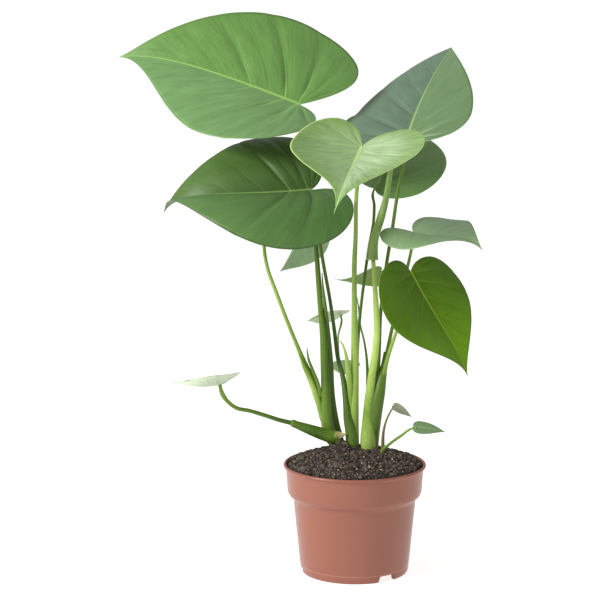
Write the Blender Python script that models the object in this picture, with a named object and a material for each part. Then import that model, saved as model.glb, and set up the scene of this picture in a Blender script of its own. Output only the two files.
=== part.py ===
"""Young potted monstera: a plastic nursery pot filled with soil, three clumps of
leaf stems, twelve heart-shaped blades, one furled new leaf and two seedlings.

Metres, +Z up.  The origin is the centre of the pot's underside, and the plant
is seen from -Y in its usual front view.  Measures below are in millimetres.
"""

import math

import bmesh
import bpy
import numpy as np

MM = 0.001
GAP = 0.35          # clearance between neighbouring pieces
SEAT_GAP = 0.6      # clearance between a stem's end and the curved underside of its blade

# Nursery pot
RIM_RADIUS = 85.0
RIM_HEIGHT = 131.0
BAND_TOP_RADIUS = 81.9
BAND_FOOT_RADIUS = 79.9
BAND_FOOT_HEIGHT = 98.0
BODY_TOP_RADIUS = 72.9
BODY_TOP_HEIGHT = 87.5
BODY_FOOT_RADIUS = 64.4
FOOT_ROUND = 3.0
WALL = 1.8
FLOOR_UNDERSIDE = 9.0                # of the raised ring that the drain holes are in
CENTRE_FOOT_RADIUS = 24.0            # the floor's centre stands on the ground again
FLOOR_SLOPE = 5.0
POT_SIDES = 48
NOTCH_AZIMUTHS = (-52.0, 68.0, 188.0)
NOTCH_HEIGHT = 8.0
NOTCH_FOOT_WIDTH = 24.0
NOTCH_TOP_WIDTH = 16.0
DRAIN_HOLES = 6
DRAIN_HOLE_RADIUS = 4.0
DRAIN_RING_RADIUS = 42.0

# Soil
SOIL_EDGE_HEIGHT = 129.3
SOIL_CROWN = 17.0
SOIL_RADIUS = 80.0
SOIL_SIDES = 40
MOUND = (-17.0, 30.0, 12.0, 8.0)     # x, y, height and spread of the heap at the stems

# Blades
BLADE_THICKNESS = 0.8
LATERAL_VEIN_POWER = 1.9             # where a side vein leaves the midrib
WIDEST_AT = 0.2                      # share of the length where a blade is widest


def new_material(name, colour, roughness, metallic=0.0):
    material = bpy.data.materials.new(name)
    material.use_nodes = True
    shader = material.node_tree.nodes["Principled BSDF"]
    shader.inputs["Base Color"].default_value = (*colour, 1.0)
    shader.inputs["Roughness"].default_value = roughness
    shader.inputs["Metallic"].default_value = metallic
    material.diffuse_color = (*colour, 1.0)
    return material


def add_object(name, vertices, faces, material=None):
    """Make an object from points in millimetres."""
    mesh = bpy.data.meshes.new(name)
    mesh.from_pydata([tuple(float(c) * MM for c in v) for v in vertices], [], faces)
    mesh.update()
    obj = bpy.data.objects.new(name, mesh)
    bpy.context.collection.objects.link(obj)
    if material is not None:
        mesh.materials.append(material)
    return obj


def shade(obj, angle=math.radians(40)):
    obj.data.shade_smooth()
    obj.data.set_sharp_from_angle(angle=angle)


def triangulate(obj):
    bm = bmesh.new()
    bm.from_mesh(obj.data)
    bmesh.ops.triangulate(bm, faces=bm.faces[:])
    bm.to_mesh(obj.data)
    bm.free()


def apply_modifiers(obj):
    """Replace an object's mesh by its evaluated one."""
    graph = bpy.context.evaluated_depsgraph_get()
    mesh = bpy.data.meshes.new_from_object(obj.evaluated_get(graph))
    obj.modifiers.clear()
    obj.data = mesh


def boolean(obj, other, operation, solver="EXACT"):
    """Cut or join one object with another, or with all those of a collection."""
    modifier = obj.modifiers.new(operation.title(), "BOOLEAN")
    modifier.operation = operation
    modifier.solver = solver
    if isinstance(other, bpy.types.Collection):
        modifier.operand_type = "COLLECTION"
        modifier.collection = other
    else:
        modifier.object = other
    apply_modifiers(obj)


def fuse(name, pieces, material, solver="EXACT"):
    """Join overlapping closed pieces into one body under a plain name."""
    group = bpy.data.collections.new(name + "_parts")
    bpy.context.scene.collection.children.link(group)
    for piece in pieces[1:]:
        bpy.context.collection.objects.unlink(piece)
        group.objects.link(piece)
    body = pieces[0]
    boolean(body, group, "UNION", solver)
    for piece in pieces[1:]:
        bpy.data.objects.remove(piece)
    bpy.data.collections.remove(group)
    body.name = body.data.name = name
    body.data.materials.clear()
    body.data.materials.append(material)
    shade(body)
    return body


def lathe(name, profile, sides, material=None):
    """Turn a closed profile of (radius, height) points about the Z axis.

    The profile runs round the section so that the surface faces out.  A point
    on the axis closes the end.
    """
    turn = np.arange(sides) * 2 * math.pi / sides
    vertices, rings = [], []
    for radius, height in profile:
        if radius < 1e-6:
            rings.append([len(vertices)] * sides)
            vertices.append((0.0, 0.0, height))
            continue
        rings.append(list(range(len(vertices), len(vertices) + sides)))
        vertices += [(radius * math.cos(a), radius * math.sin(a), height) for a in turn]
    faces = []
    for k, ring in enumerate(rings):
        after = rings[(k + 1) % len(rings)]
        for i in range(sides):
            j = (i + 1) % sides
            corners = []
            for corner in (ring[i], ring[j], after[j], after[i]):
                if corner not in corners:
                    corners.append(corner)
            if len(corners) > 2:
                faces.append(corners)
    return add_object(name, vertices, faces, material)


def spline(points, steps):
    """Smooth curve through rows of values, evenly spaced by length.

    Centripetal-like Hermite curve: the slope at each row is the chord of its
    neighbours, weighted by the distances to them.
    """
    rows = np.array(points, float)
    place = np.concatenate([[0], np.cumsum(np.linalg.norm(np.diff(rows[:, :3], axis=0), axis=1))])
    slope = np.gradient(rows, place, axis=0)
    at = np.linspace(0, place[-1], steps + 1)
    k = np.clip(np.searchsorted(place, at, side="right") - 1, 0, len(rows) - 2)
    span = (place[k + 1] - place[k])[:, None]
    u = ((at - place[k]) / span[:, 0])[:, None]
    return ((2 * u**3 - 3 * u**2 + 1) * rows[k] + (u**3 - 2 * u**2 + u) * span * slope[k]
            + (3 * u**2 - 2 * u**3) * rows[k + 1] + (u**3 - u**2) * span * slope[k + 1])


def tube(name, route, steps, sides=8, depth=1.0, wave=0.0):
    """Closed stalk along a route of (x, y, z, radius) points.

    depth scales the radius along Y, for flattened sheaths.  wave ripples the
    first rim, as on a torn sheath.
    """
    rows = spline(route, steps)
    centre, radius = rows[:, :3], np.maximum(rows[:, 3], 0.25)
    along = np.gradient(centre, axis=0)
    along /= np.linalg.norm(along, axis=1)[:, None]
    side = np.cross(along, (0.0, -1.0, 0.0))
    side /= np.linalg.norm(side, axis=1)[:, None]
    back = np.cross(along, side)
    turn = np.arange(sides) * 2 * math.pi / sides
    ring = (centre[:, None] + radius[:, None, None]
            * (np.cos(turn)[None, :, None] * side[:, None]
               + depth * np.sin(turn)[None, :, None] * back[:, None]))
    ring[0] -= along[0] * (wave * (1 + np.cos(3 * turn)))[:, None]
    vertices = list(ring.reshape(-1, 3))
    faces = []
    for k in range(steps):
        for i in range(sides):
            j = (i + 1) % sides
            faces.append([k * sides + i, k * sides + j, (k + 1) * sides + j, (k + 1) * sides + i])
    faces.append([i for i in reversed(range(sides))])
    faces.append([steps * sides + i for i in range(sides)])
    obj = add_object(name, vertices, faces)
    triangulate(obj)
    return obj


def bezier(a, b, c, d, count):
    t = np.linspace(0, 1, count + 1)[:, None]
    a, b, c, d = (np.array(p, float) for p in (a, b, c, d))
    return (1 - t)**3 * a + 3 * t * (1 - t)**2 * b + 3 * t * t * (1 - t) * c + t**3 * d


class Blade:
    """One heart-shaped leaf blade.

    seat is where the stem meets it, at the head of the notch between its two
    lobes.  length runs from there to the tip.  heading is the compass way of
    the midrib (0 is +X, 90 is +Y), rise its slope, and roll the turn about it,
    with the right half down.  fold lifts the halves, cup bends each half down
    towards its margin, arch bends the midrib evenly and droop bends its tip,
    sweep bends it sideways and twist turns the cross section towards the tip.
    All of these are in degrees.  width, lobe, notch, shoulder and point shape
    the flat outline as shares of the length, and a pair gives the right and
    the left half their own values.
    """

    def __init__(self, seat, length, heading, rise, roll, fold=12, cup=28, arch=8, droop=14,
                 sweep=0, twist=0, width=0.46, lobe=0.17, notch=0.03, shoulder=0.82,
                 point=0.14, rows=24, columns=3):
        self.seat = np.array(seat, float)
        self.length, self.heading, self.rise, self.roll = length, heading, rise, roll
        self.fold, self.cup, self.arch, self.droop = self.pair(fold), cup, arch, droop
        self.sweep, self.twist = sweep, twist
        self.width, self.lobe, self.notch = self.pair(width), self.pair(lobe), self.pair(notch)
        self.shoulder, self.point = self.pair(shoulder), self.pair(point)
        self.rows, self.columns = rows, columns

    @staticmethod
    def pair(value):
        return value if isinstance(value, tuple) else (value, value)

    def axes(self):
        """Unit vectors along the midrib, to the right and up at the seat."""
        heading, rise, roll = (math.radians(a) for a in (self.heading, self.rise, self.roll))
        along = np.array([math.cos(rise) * math.cos(heading), math.cos(rise) * math.sin(heading),
                          math.sin(rise)])
        level = np.array([math.sin(heading), -math.cos(heading), 0.0])
        up = np.cross(level, along)
        right = level * math.cos(roll) - up * math.sin(roll)
        return along, right, up * math.cos(roll) + level * math.sin(roll)

    def outline(self, half):
        """Margin of one half, flat, from the notch round the lobe to the tip."""
        width, lobe, notch, shoulder, point = (
            v[half] for v in (self.width, self.lobe, self.notch, self.shoulder, self.point))
        first = int(round(self.rows * 0.45))
        lobed = bezier((0, 0), (-1.2 * lobe, notch * width), (-1.3 * lobe, 0.98 * width),
                       (WIDEST_AT, width), first)
        tapered = bezier((WIDEST_AT, width), (WIDEST_AT + 0.36, 1.01 * width),
                         (shoulder, point * width), (1, 0), self.rows - first)
        return np.concatenate([lobed, tapered[1:]])

    def half(self, half):
        """Grid of points from the midrib (column 0) to the margin of one half.

        Each row follows a side vein.  A vein that ends at u on the margin
        leaves the midrib at u to the power LATERAL_VEIN_POWER, and bows back,
        the less the nearer it is to the notch.
        """
        margin = self.outline(half)
        root = np.stack([np.clip(margin[:, 0], 0, 1)**LATERAL_VEIN_POWER, 0 * margin[:, 0]], -1)
        back = 0.1 * np.clip(np.arange(self.rows + 1) / (0.45 * self.rows), 0, 1)
        back = back * (margin - root)[:, 1]
        bow = (root + margin) / 2 - np.stack([back, 0 * back], -1)
        t = np.linspace(0, 1, self.columns + 1)[None, :, None]
        flat = (1 - t)**2 * root[:, None] + 2 * t * (1 - t) * bow[:, None] + t * t * margin[:, None]
        return self.bend(flat[..., 0], flat[..., 1], half)

    def bend(self, u, v, half):
        """Carry flat points to their place on the folded and arched blade."""
        along, right, up = self.axes()
        sign = 1 - 2 * half
        g = np.linspace(-0.35, 1.02, 275)
        dip = np.radians(self.arch * g + self.droop * np.clip(g, 0, None)**4)
        swing = np.radians(self.sweep * g)

        def travel(rate):
            total = np.concatenate([[0], np.cumsum((rate[1:] + rate[:-1]) / 2)]) * (g[1] - g[0])
            return np.interp(u, g, total - np.interp(0, g, total)) * self.length

        ahead = travel(np.cos(dip) * np.cos(swing))
        below = travel(np.sin(dip))
        aside = travel(np.cos(dip) * np.sin(swing))
        dip, swing = np.interp(u, g, dip), np.interp(u, g, swing)
        lift = math.radians(self.fold[half])
        curl = math.radians(self.cup) / sum(self.width) * 2 + 1e-9
        out = (math.sin(lift) - np.sin(lift - curl * v)) / curl * self.length * sign
        high = (np.cos(lift - curl * v) - math.cos(lift)) / curl * self.length
        turn = np.radians(self.twist) * u
        sideways = out * np.cos(turn) + high * np.sin(turn)
        upwards = high * np.cos(turn) - out * np.sin(turn)
        tangent = ((np.cos(dip) * np.cos(swing))[..., None] * along - np.sin(dip)[..., None] * up
                   + (np.cos(dip) * np.sin(swing))[..., None] * right)
        across = np.cos(swing)[..., None] * right - np.sin(swing)[..., None] * along
        return (self.seat + ahead[..., None] * along - below[..., None] * up
                + aside[..., None] * right + sideways[..., None] * across
                + upwards[..., None] * np.cross(across, tangent))

    def build(self, name, material):
        """Closed blade: the middle surface moved half the thickness each way.

        All points of row 0 are at the seat, so row 1 is the edge of the notch.
        """
        right, left = self.half(0)[1:], self.half(1)[1:]
        grid = np.concatenate([left[:, :0:-1], right], axis=1)
        rows, columns = grid.shape[:2]
        points, index = np.unique(np.round(grid.reshape(-1, 3), 4), axis=0, return_inverse=True)
        index = index.reshape(rows, columns)
        faces = []
        for i in range(rows - 1):
            for j in range(columns - 1):
                a, b, c, d = index[i, j], index[i, j + 1], index[i + 1, j + 1], index[i + 1, j]
                for face in ((a, b, c), (a, c, d)) if j >= self.columns else ((a, b, d), (b, c, d)):
                    if len(set(face)) == 3:
                        faces.append([int(n) for n in face])
        corners = points[np.array(faces)]
        normal = np.cross(corners[:, 1] - corners[:, 0], corners[:, 2] - corners[:, 0])
        average = np.zeros_like(points)
        for k in range(3):
            np.add.at(average, np.array(faces)[:, k], normal)
        average /= np.linalg.norm(average, axis=1)[:, None]
        upper, lower = points + average * BLADE_THICKNESS / 2, points - average * BLADE_THICKNESS / 2
        count = len(points)
        edges = {(f[k], f[(k + 1) % 3]) for f in faces for k in range(3)}
        shell = faces + [[n + count for n in reversed(f)] for f in faces]
        for a, b in sorted(edges):
            if (b, a) not in edges:
                shell += [[b, a, a + count], [b, a + count, b + count]]
        obj = add_object(name, np.concatenate([upper, lower]), shell, material)
        shade(obj, math.radians(60))
        return obj

    def stem_end(self, radius, reach=9.0):
        """Last two points of a stem that meets the blade's underside squarely."""
        up = self.axes()[2]
        sag = max(0.0, -math.tan(math.radians(min(self.fold)))) * radius
        under = self.seat - up * (BLADE_THICKNESS / 2 + min(SEAT_GAP + sag, 0.9))
        return [(*(under - up * reach), radius), (*(under - up * reach * 0.4), radius),
                (*under, radius)]


BLADES = {
    "leaf_top_left": Blade((-66, 100, 549), 250, 154, 18, -24, fold=(15, 11), cup=11, arch=-3,
                           droop=28, sweep=-12, twist=-24, width=(0.482, 0.48),
                           lobe=(0.17, 0.21), notch=(0.39, 0.03), shoulder=(0.84, 0.8),
                           point=(0.04, 0.03)),
    "leaf_middle_left": Blade((-52, 30, 454), 197, 200, -3, -43, fold=(27, 51), cup=71, arch=24,
                              droop=62, sweep=37, width=(0.51, 0.59), lobe=0.16,
                              notch=(0.17, 0.03), shoulder=0.76, point=0.03),
    "leaf_front": Blade((6, -20, 510), 188, -103, -19, -18, fold=(-11, 23), cup=-17, arch=-31,
                        droop=70, sweep=-2, twist=-4, width=(0.41, 0.43), lobe=(0.33, 0.21),
                        notch=0.1, shoulder=0.62, point=0.03),
    "leaf_top_right": Blade((61, 55, 509.5), 178, 74, 35, -10, fold=(17, 19), cup=31, arch=-1,
                            droop=5, sweep=15, twist=-22, width=(0.45, 0.51),
                            lobe=(0.09, 0.13), shoulder=0.9, point=(0.17, 0.25)),
    "leaf_back_right": Blade((26, 125, 444.3), 173, 70, 25, 26, fold=32, cup=3, arch=6, droop=20,
                             sweep=-4, twist=3, lobe=(0.18, 0.14), notch=(0.19, 0.31)),
    "leaf_side_right": Blade((68, 10, 407), 111, -47, -5, 1, fold=(10, 36), cup=45, arch=-25,
                             droop=71, sweep=-4, twist=3, lobe=(0.26, 0.16),
                             notch=(0.03, 0.21), shoulder=0.76, point=0.03, rows=20),
    "leaf_hanging_right": Blade((64, -20, 364), 141, -29, -59, 13, fold=(17, 21), cup=38,
                                arch=-5, droop=30, sweep=-12, twist=20, width=(0.49, 0.45),
                                lobe=(0.16, 0.1), notch=(0.03, 0.14), shoulder=0.75, point=0.03),
    "leaf_low_left": Blade((-159, -20, 230), 68, 215, -3, 13, fold=(27, 31), cup=18, arch=-30,
                           droop=7, lobe=0.34, notch=(0.03, 0.39), rows=14, columns=2),
    "leaf_back_left": Blade((-53, 120, 404.5), 79, 238, -46, -90, fold=31, cup=2, arch=10,
                            droop=10, rows=14, columns=2),
    "leaf_behind_middle": Blade((32, 95, 346.5), 70, 216, -17, -4, fold=7, cup=37, arch=-20,
                                droop=-28, sweep=5, twist=6, rows=14, columns=2),
    "leaf_small_back": Blade((-15.5, 95, 293), 49.5, 208, 1, 27, fold=10, twist=10, rows=14,
                             columns=2),
    "leaf_lowest_back": Blade((0.5, 80, 230), 37.5, 162, 7, -18, rows=12, columns=2),
}


def ends_at(route, blade, radius):
    return route + BLADES[blade].stem_end(radius)


def build_pot(material):
    foot = BODY_FOOT_RADIUS - FOOT_ROUND * 0.3
    outer = [(foot - WALL, 0.0), (foot - 0.9, 0.0), (foot, 0.7), (BODY_FOOT_RADIUS, FOOT_ROUND),
             (BODY_TOP_RADIUS, BODY_TOP_HEIGHT), (BODY_TOP_RADIUS + 0.9, BODY_TOP_HEIGHT + 2.6),
             (BODY_TOP_RADIUS + 3.4, BODY_TOP_HEIGHT + 4.9),
             (BAND_FOOT_RADIUS - 1.2, BODY_TOP_HEIGHT + 7.3), (BAND_FOOT_RADIUS, BAND_FOOT_HEIGHT),
             (BAND_TOP_RADIUS, RIM_HEIGHT - 5.0), (BAND_TOP_RADIUS + 0.6, RIM_HEIGHT - 4.0),
             (RIM_RADIUS - 0.5, RIM_HEIGHT - 3.0), (RIM_RADIUS, RIM_HEIGHT - 2.0),
             (RIM_RADIUS - 0.6, RIM_HEIGHT - 0.6), (RIM_RADIUS - 1.8, RIM_HEIGHT)]
    inner = [(BAND_TOP_RADIUS - 0.6, RIM_HEIGHT - 1.0), (BAND_TOP_RADIUS - WALL, RIM_HEIGHT - 5.0),
             (BAND_FOOT_RADIUS - WALL, BAND_FOOT_HEIGHT + 0.8),
             (BODY_TOP_RADIUS + 2.2, BODY_TOP_HEIGHT + 7.0),
             (BODY_TOP_RADIUS - WALL, BODY_TOP_HEIGHT + 1.0),
             (BODY_FOOT_RADIUS - WALL + 1.0, FLOOR_UNDERSIDE + WALL),
             (CENTRE_FOOT_RADIUS + FLOOR_SLOPE - 1.0, FLOOR_UNDERSIDE + WALL),
             (CENTRE_FOOT_RADIUS - 1.0, WALL), (0.0, WALL), (0.0, 0.0), (CENTRE_FOOT_RADIUS, 0.0),
             (CENTRE_FOOT_RADIUS + FLOOR_SLOPE, FLOOR_UNDERSIDE),
             (BODY_FOOT_RADIUS - 4.2, FLOOR_UNDERSIDE),
             (foot - WALL - 2.2, 0.0)]
    pot = lathe("pot", outer + inner, POT_SIDES, material)
    for azimuth in NOTCH_AZIMUTHS:
        half_foot, half_top = NOTCH_FOOT_WIDTH / 2, NOTCH_TOP_WIDTH / 2
        section = [(-half_foot - 1, -1.5), (half_foot + 1, -1.5), (half_top, NOTCH_HEIGHT),
                   (-half_top, NOTCH_HEIGHT)]
        near, far = BODY_FOOT_RADIUS - 9.0, BODY_FOOT_RADIUS + 6.0
        vertices = [(near, y, z) for y, z in section] + [(far, y, z) for y, z in section]
        faces = [[3, 2, 1, 0], [4, 5, 6, 7], [0, 1, 5, 4], [1, 2, 6, 5], [2, 3, 7, 6], [3, 0, 4, 7]]
        cutter = add_object("notch", vertices, faces)
        cutter.rotation_euler.z = math.radians(azimuth)
        bpy.context.view_layer.update()
        boolean(pot, cutter, "DIFFERENCE")
        bpy.data.objects.remove(cutter)
    for k in range(DRAIN_HOLES):
        bpy.ops.mesh.primitive_cylinder_add(vertices=16, radius=DRAIN_HOLE_RADIUS * MM,
                                            depth=3 * WALL * MM)
        cutter = bpy.context.object
        angle = 2 * math.pi * (k / DRAIN_HOLES + 0.5 / POT_SIDES)
        cutter.location = (DRAIN_RING_RADIUS * math.cos(angle) * MM,
                           DRAIN_RING_RADIUS * math.sin(angle) * MM, FLOOR_UNDERSIDE * MM)
        bpy.context.view_layer.update()
        boolean(pot, cutter, "DIFFERENCE")
        bpy.data.objects.remove(cutter)
    shade(pot, math.radians(35))
    return pot


def soil_height(x, y):
    """Domed surface with low lumps, and the heap at the stems."""
    share = np.clip(np.hypot(x, y) / SOIL_RADIUS, 0, 1)
    lumps = 0.8 * np.sin(0.21 * x + 1.3) * np.cos(0.17 * y) + 0.6 * np.sin(0.33 * y - 0.26 * x)
    heap_x, heap_y, height, spread = MOUND
    heap = height * np.exp(-((x - heap_x)**2 + (y - heap_y)**2) / spread**2)
    return SOIL_EDGE_HEIGHT + SOIL_CROWN * (1 - share**2)**0.9 + lumps * (1 - share**4) + heap


def build_soil(material, roots):
    """Fill the pot's inside, then sink the plain holes that the roots stand in."""
    rings = [12, 21, 29, 37, 46, 57, 69]
    top = [(r, None) for r in rings] + [(BAND_TOP_RADIUS - WALL - GAP - 0.2, SOIL_EDGE_HEIGHT)]
    wall = [(BAND_FOOT_RADIUS - WALL - GAP, BAND_FOOT_HEIGHT + 2.0),
            (BODY_TOP_RADIUS + 1.2, BODY_TOP_HEIGHT + 8.0),
            (BODY_TOP_RADIUS - WALL - GAP, BODY_TOP_HEIGHT + 1.5),
            (BODY_FOOT_RADIUS - WALL + 1.0 - GAP, FLOOR_UNDERSIDE + WALL + GAP),
            (CENTRE_FOOT_RADIUS + FLOOR_SLOPE - 1.3, FLOOR_UNDERSIDE + WALL + GAP),
            (CENTRE_FOOT_RADIUS - 1.4, WALL + GAP)]
    turn = np.arange(SOIL_SIDES) * 2 * math.pi / SOIL_SIDES
    vertices = [(0.0, 0.0, float(soil_height(0.0, 0.0)))]
    for radius, height in top + wall:
        x, y = radius * np.cos(turn), radius * np.sin(turn)
        z = soil_height(x, y) if height is None else np.full_like(x, height)
        vertices += list(zip(x, y, z))
    vertices.append((0.0, 0.0, WALL + GAP))
    last, count = len(vertices) - 1, len(top + wall)
    faces = []
    for i in range(SOIL_SIDES):
        j = (i + 1) % SOIL_SIDES
        faces.append([0, 1 + i, 1 + j])
        for k in range(count - 1):
            a, b = 1 + k * SOIL_SIDES, 1 + (k + 1) * SOIL_SIDES
            faces.append([a + i, b + i, b + j, a + j])
        edge = 1 + (count - 1) * SOIL_SIDES
        faces.append([edge + i, last, edge + j])
    soil = add_object("soil", vertices, faces, material)
    triangulate(soil)
    for x, y, wide, deep, bottom in roots:
        hole = root_plug("hole", x, y, wide + GAP, deep + GAP, bottom - GAP, RIM_HEIGHT + 60)
        boolean(soil, hole, "DIFFERENCE")
        bpy.data.objects.remove(hole)
    shade(soil, math.radians(50))
    return soil


def root_plug(name, x, y, wide, deep, bottom, top):
    """Upright oval stub, the part of a clump that stands in the soil."""
    turn = np.arange(20) * 2 * math.pi / 20
    vertices = [(x + wide * math.cos(a), y + deep * math.sin(a), z) for z in (bottom, top) for a in turn]
    faces = [[i, (i + 1) % 20, 20 + (i + 1) % 20, 20 + i] for i in range(20)]
    faces += [list(reversed(range(20))), list(range(20, 40))]
    return add_object(name, vertices, faces)


# Where each clump stands in the soil: x, y, half width, half depth, bottom
ROOT_LEFT = (-28.0, 31.5, 13.4, 12.4, 118.0)
ROOT_MIDDLE = (-4.0, 19.0, 9.7, 13.0, 118.0)
ROOT_RIGHT = (18.4, 16.8, 11.9, 11.9, 118.0)
ROOT_LOW = (-17.0, 5.0, 5.2, 5.0, 128.0)
ROOT_DRY = (33.5, 8.0, 2.8, 2.8, 130.0)
ROOT_FRESH = (31.5, -3.0, 2.6, 2.5, 130.0)
ROOTS = (ROOT_LEFT, ROOT_MIDDLE, ROOT_RIGHT, ROOT_LOW, ROOT_DRY, ROOT_FRESH)

# Stems run from the soil up, as (x, y, z, radius)
TOP_LEFT_STEM = [(-31, 29, 142, 8.2), (-33, 28, 171, 6.9), (-34, 28, 201, 5.6), (-36, 28, 250, 4.7),
                 (-37.5, 29, 284, 4.2), (-40, 31, 305, 3.3), (-43, 37, 345, 3.2), (-47, 52, 395, 2.5),
                 (-53, 75, 440, 2.3), (-60, 92, 480, 2.2), (-64, 98, 515, 2.0)]
LEFT_SHEATH = [(-25, 34, 142, 8.6), (-25.5, 35, 169, 7.2), (-28, 35, 200, 5.6), (-30, 35, 249, 4.5),
               (-32, 34, 279, 3.5), (-35, 32.5, 312, 2.4), (-38, 32, 340, 1.2), (-39, 32, 355, 0.5)]
BACK_LEFT_STEM = [(-32, 28, 158, 6.0), (-35, 23, 172, 6.0), (-43, 22, 203, 5.1), (-51, 22, 227, 4.4),
                  (-59, 22, 245, 3.7), (-65, 23, 260, 2.7), (-81, 28, 299, 2.3), (-93, 39, 329, 2.3),
                  (-104, 55, 357, 2.2), (-108, 78, 387, 2.0), (-102, 98, 409, 1.9),
                  (-84, 118, 420, 1.8), (-67, 127, 417, 1.7)]
SPIKE = [(-40, 22, 206, 2.4), (-44, 19, 224, 2.2), (-50, 17, 240, 1.9), (-55, 16, 254, 1.4),
         (-57, 16, 268, 0.4)]
FRONT_STEM = [(-3, 16, 142, 8.2), (-2, 16, 155, 7.9), (-1, 15, 174, 6.0), (0, 14, 198, 4.9),
              (0, 12, 265, 4.5), (-1, 11, 326, 3.2), (-1, 8, 374, 2.9), (0, 5, 398, 2.6),
              (1, -5, 458, 2.3), (4, -14, 485, 2.2)]
BACK_RIGHT_STEM = [(2, 15, 231, 2.7), (3, 18, 270, 2.4), (6, 23, 304, 1.9), (12, 36, 351, 1.8),
                   (17, 58, 385, 1.8), (22, 86, 406, 1.8), (26, 110, 424, 1.8)]
MIDDLE_LEFT_STEM = [(-6, 24, 142, 5.6), (-8, 29, 167, 4.4), (-11, 34, 194, 3.6), (-13, 36, 212, 2.8),
                    (-20, 38, 248, 2.6), (-24, 39, 284, 2.3), (-30, 40, 325, 2.1), (-37, 40, 363, 2.1),
                    (-43, 40, 399, 2.1), (-50, 40, 432, 2.0)]
CURLED_SHEATH = [(-5, 11, 203, 3.3), (-6, 9, 224, 3.7), (-8, 7.5, 242, 3.2), (-10, 6, 257, 2.2),
                 (-13, 4, 269, 1.3), (-17, 3, 277, 0.8), (-20, 2, 279, 0.4)]
SMALL_BACK_STEM = [(-8, 28, 160, 2.6), (-10, 44, 185, 1.8), (-13, 53, 209, 1.4), (-19, 63, 243, 1.2),
                   (-22, 84, 270, 1.1)]
LOWEST_BACK_STEM = [(-3, 26, 162, 3.0), (0, 44, 184, 1.8), (1.5, 64, 203, 1.2)]
FURLED_STEM = [(16.5, 14.5, 142, 8.4), (15.5, 14, 156, 8.6), (17, 14, 180, 7.7), (18, 14, 204, 6.2),
               (20, 14, 231, 4.8), (25, 13, 271, 3.9), (26, 12, 290, 3.7), (25, 11, 314, 3.4),
               (23, 10, 345, 2.8), (21, 9, 373.8, 2.5)]
RIGHT_SHEATH = [(20.5, 19.5, 142, 7.2), (22, 20, 166, 7.2), (26, 20, 191, 7.2), (29, 21, 209, 6.9),
                (32, 22, 227, 5.7), (35, 22, 243, 3.9), (37, 23, 261, 2.5)]
SIDE_RIGHT_STEM = [(31, 20, 221, 3.6), (37, 22, 253, 2.5), (45, 25, 292, 2.1), (54, 27, 330, 2.0),
                   (61, 26, 358, 2.0), (66, 20, 383, 1.8)]
HANGING_STEM = [(31, 16, 222, 3.2), (41, 17, 262, 2.4), (49, 17, 286, 2.1), (56, 16, 310, 2.0),
                (61, 14, 338, 1.9), (63, 2, 357, 1.8)]
TOP_RIGHT_STEM = [(26, 21, 215, 3.4), (29, 27, 263, 2.5), (31, 33, 307, 2.1), (38, 40, 365, 2.1),
                  (45, 44, 408, 2.1), (50, 47, 443, 2.1), (54, 51, 464, 2.1), (59, 58, 484, 1.9)]
FREE_SHEATH = [(16, 19, 218, 2.4), (13.5, 22, 260, 1.4), (11, 25, 275, 1.2), (7, 27, 291, 1.1),
               (4, 27, 317, 0.8), (2, 26, 329, 0.4)]
BEHIND_MIDDLE_STEM = [(25, 25, 200, 2.6), (28, 42, 230, 1.6), (30, 60, 256, 1.3), (33, 82, 296, 1.2),
                      (33, 92, 322, 1.1)]
FURLED_LEAF = [(20, 9, 375, 6.9), (20.5, 9, 386, 6.5), (22, 9, 398, 5.6), (25, 9, 408, 4.9),
               (30, 11, 424, 4.9), (36, 13, 447, 3.7), (41, 16, 478, 2.8), (45, 18, 497, 2.0),
               (49, 20, 516, 0.7)]
LOW_STEM = [(-17, 5, 128, 4.5), (-17, 5, 138, 4.5), (-17, 5, 147, 4.5), (-21, 5, 155, 5.3), (-31, 4, 161, 6.8),
            (-47, 3, 169, 7.0), (-63, 1, 174.5, 5.8), (-76, -1, 180, 3.6), (-89, -4, 184, 2.7),
            (-105, -7, 190, 2.5), (-125, -11, 197, 2.4), (-140, -14, 201, 2.4), (-149, -16, 208, 2.3)]
DRY_STEM = [(33.5, 8, 130, 2.4), (33.5, 8, 140, 2.4), (33.5, 8, 148, 2.3), (35, 6, 172, 1.5), (40, 4, 188, 1.2),
            (45, 2, 197, 1.1), (49, 1.5, 201, 1.0)]
FRESH_STEM = [(31.5, -3, 130, 2.0), (31.5, -3, 137, 2.0), (32, -3, 145, 2.0), (41, -8, 156, 1.8), (55, -14, 168, 1.7),
              (66, -19, 177, 1.4), (72, -22, 179, 1.2)]


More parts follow.
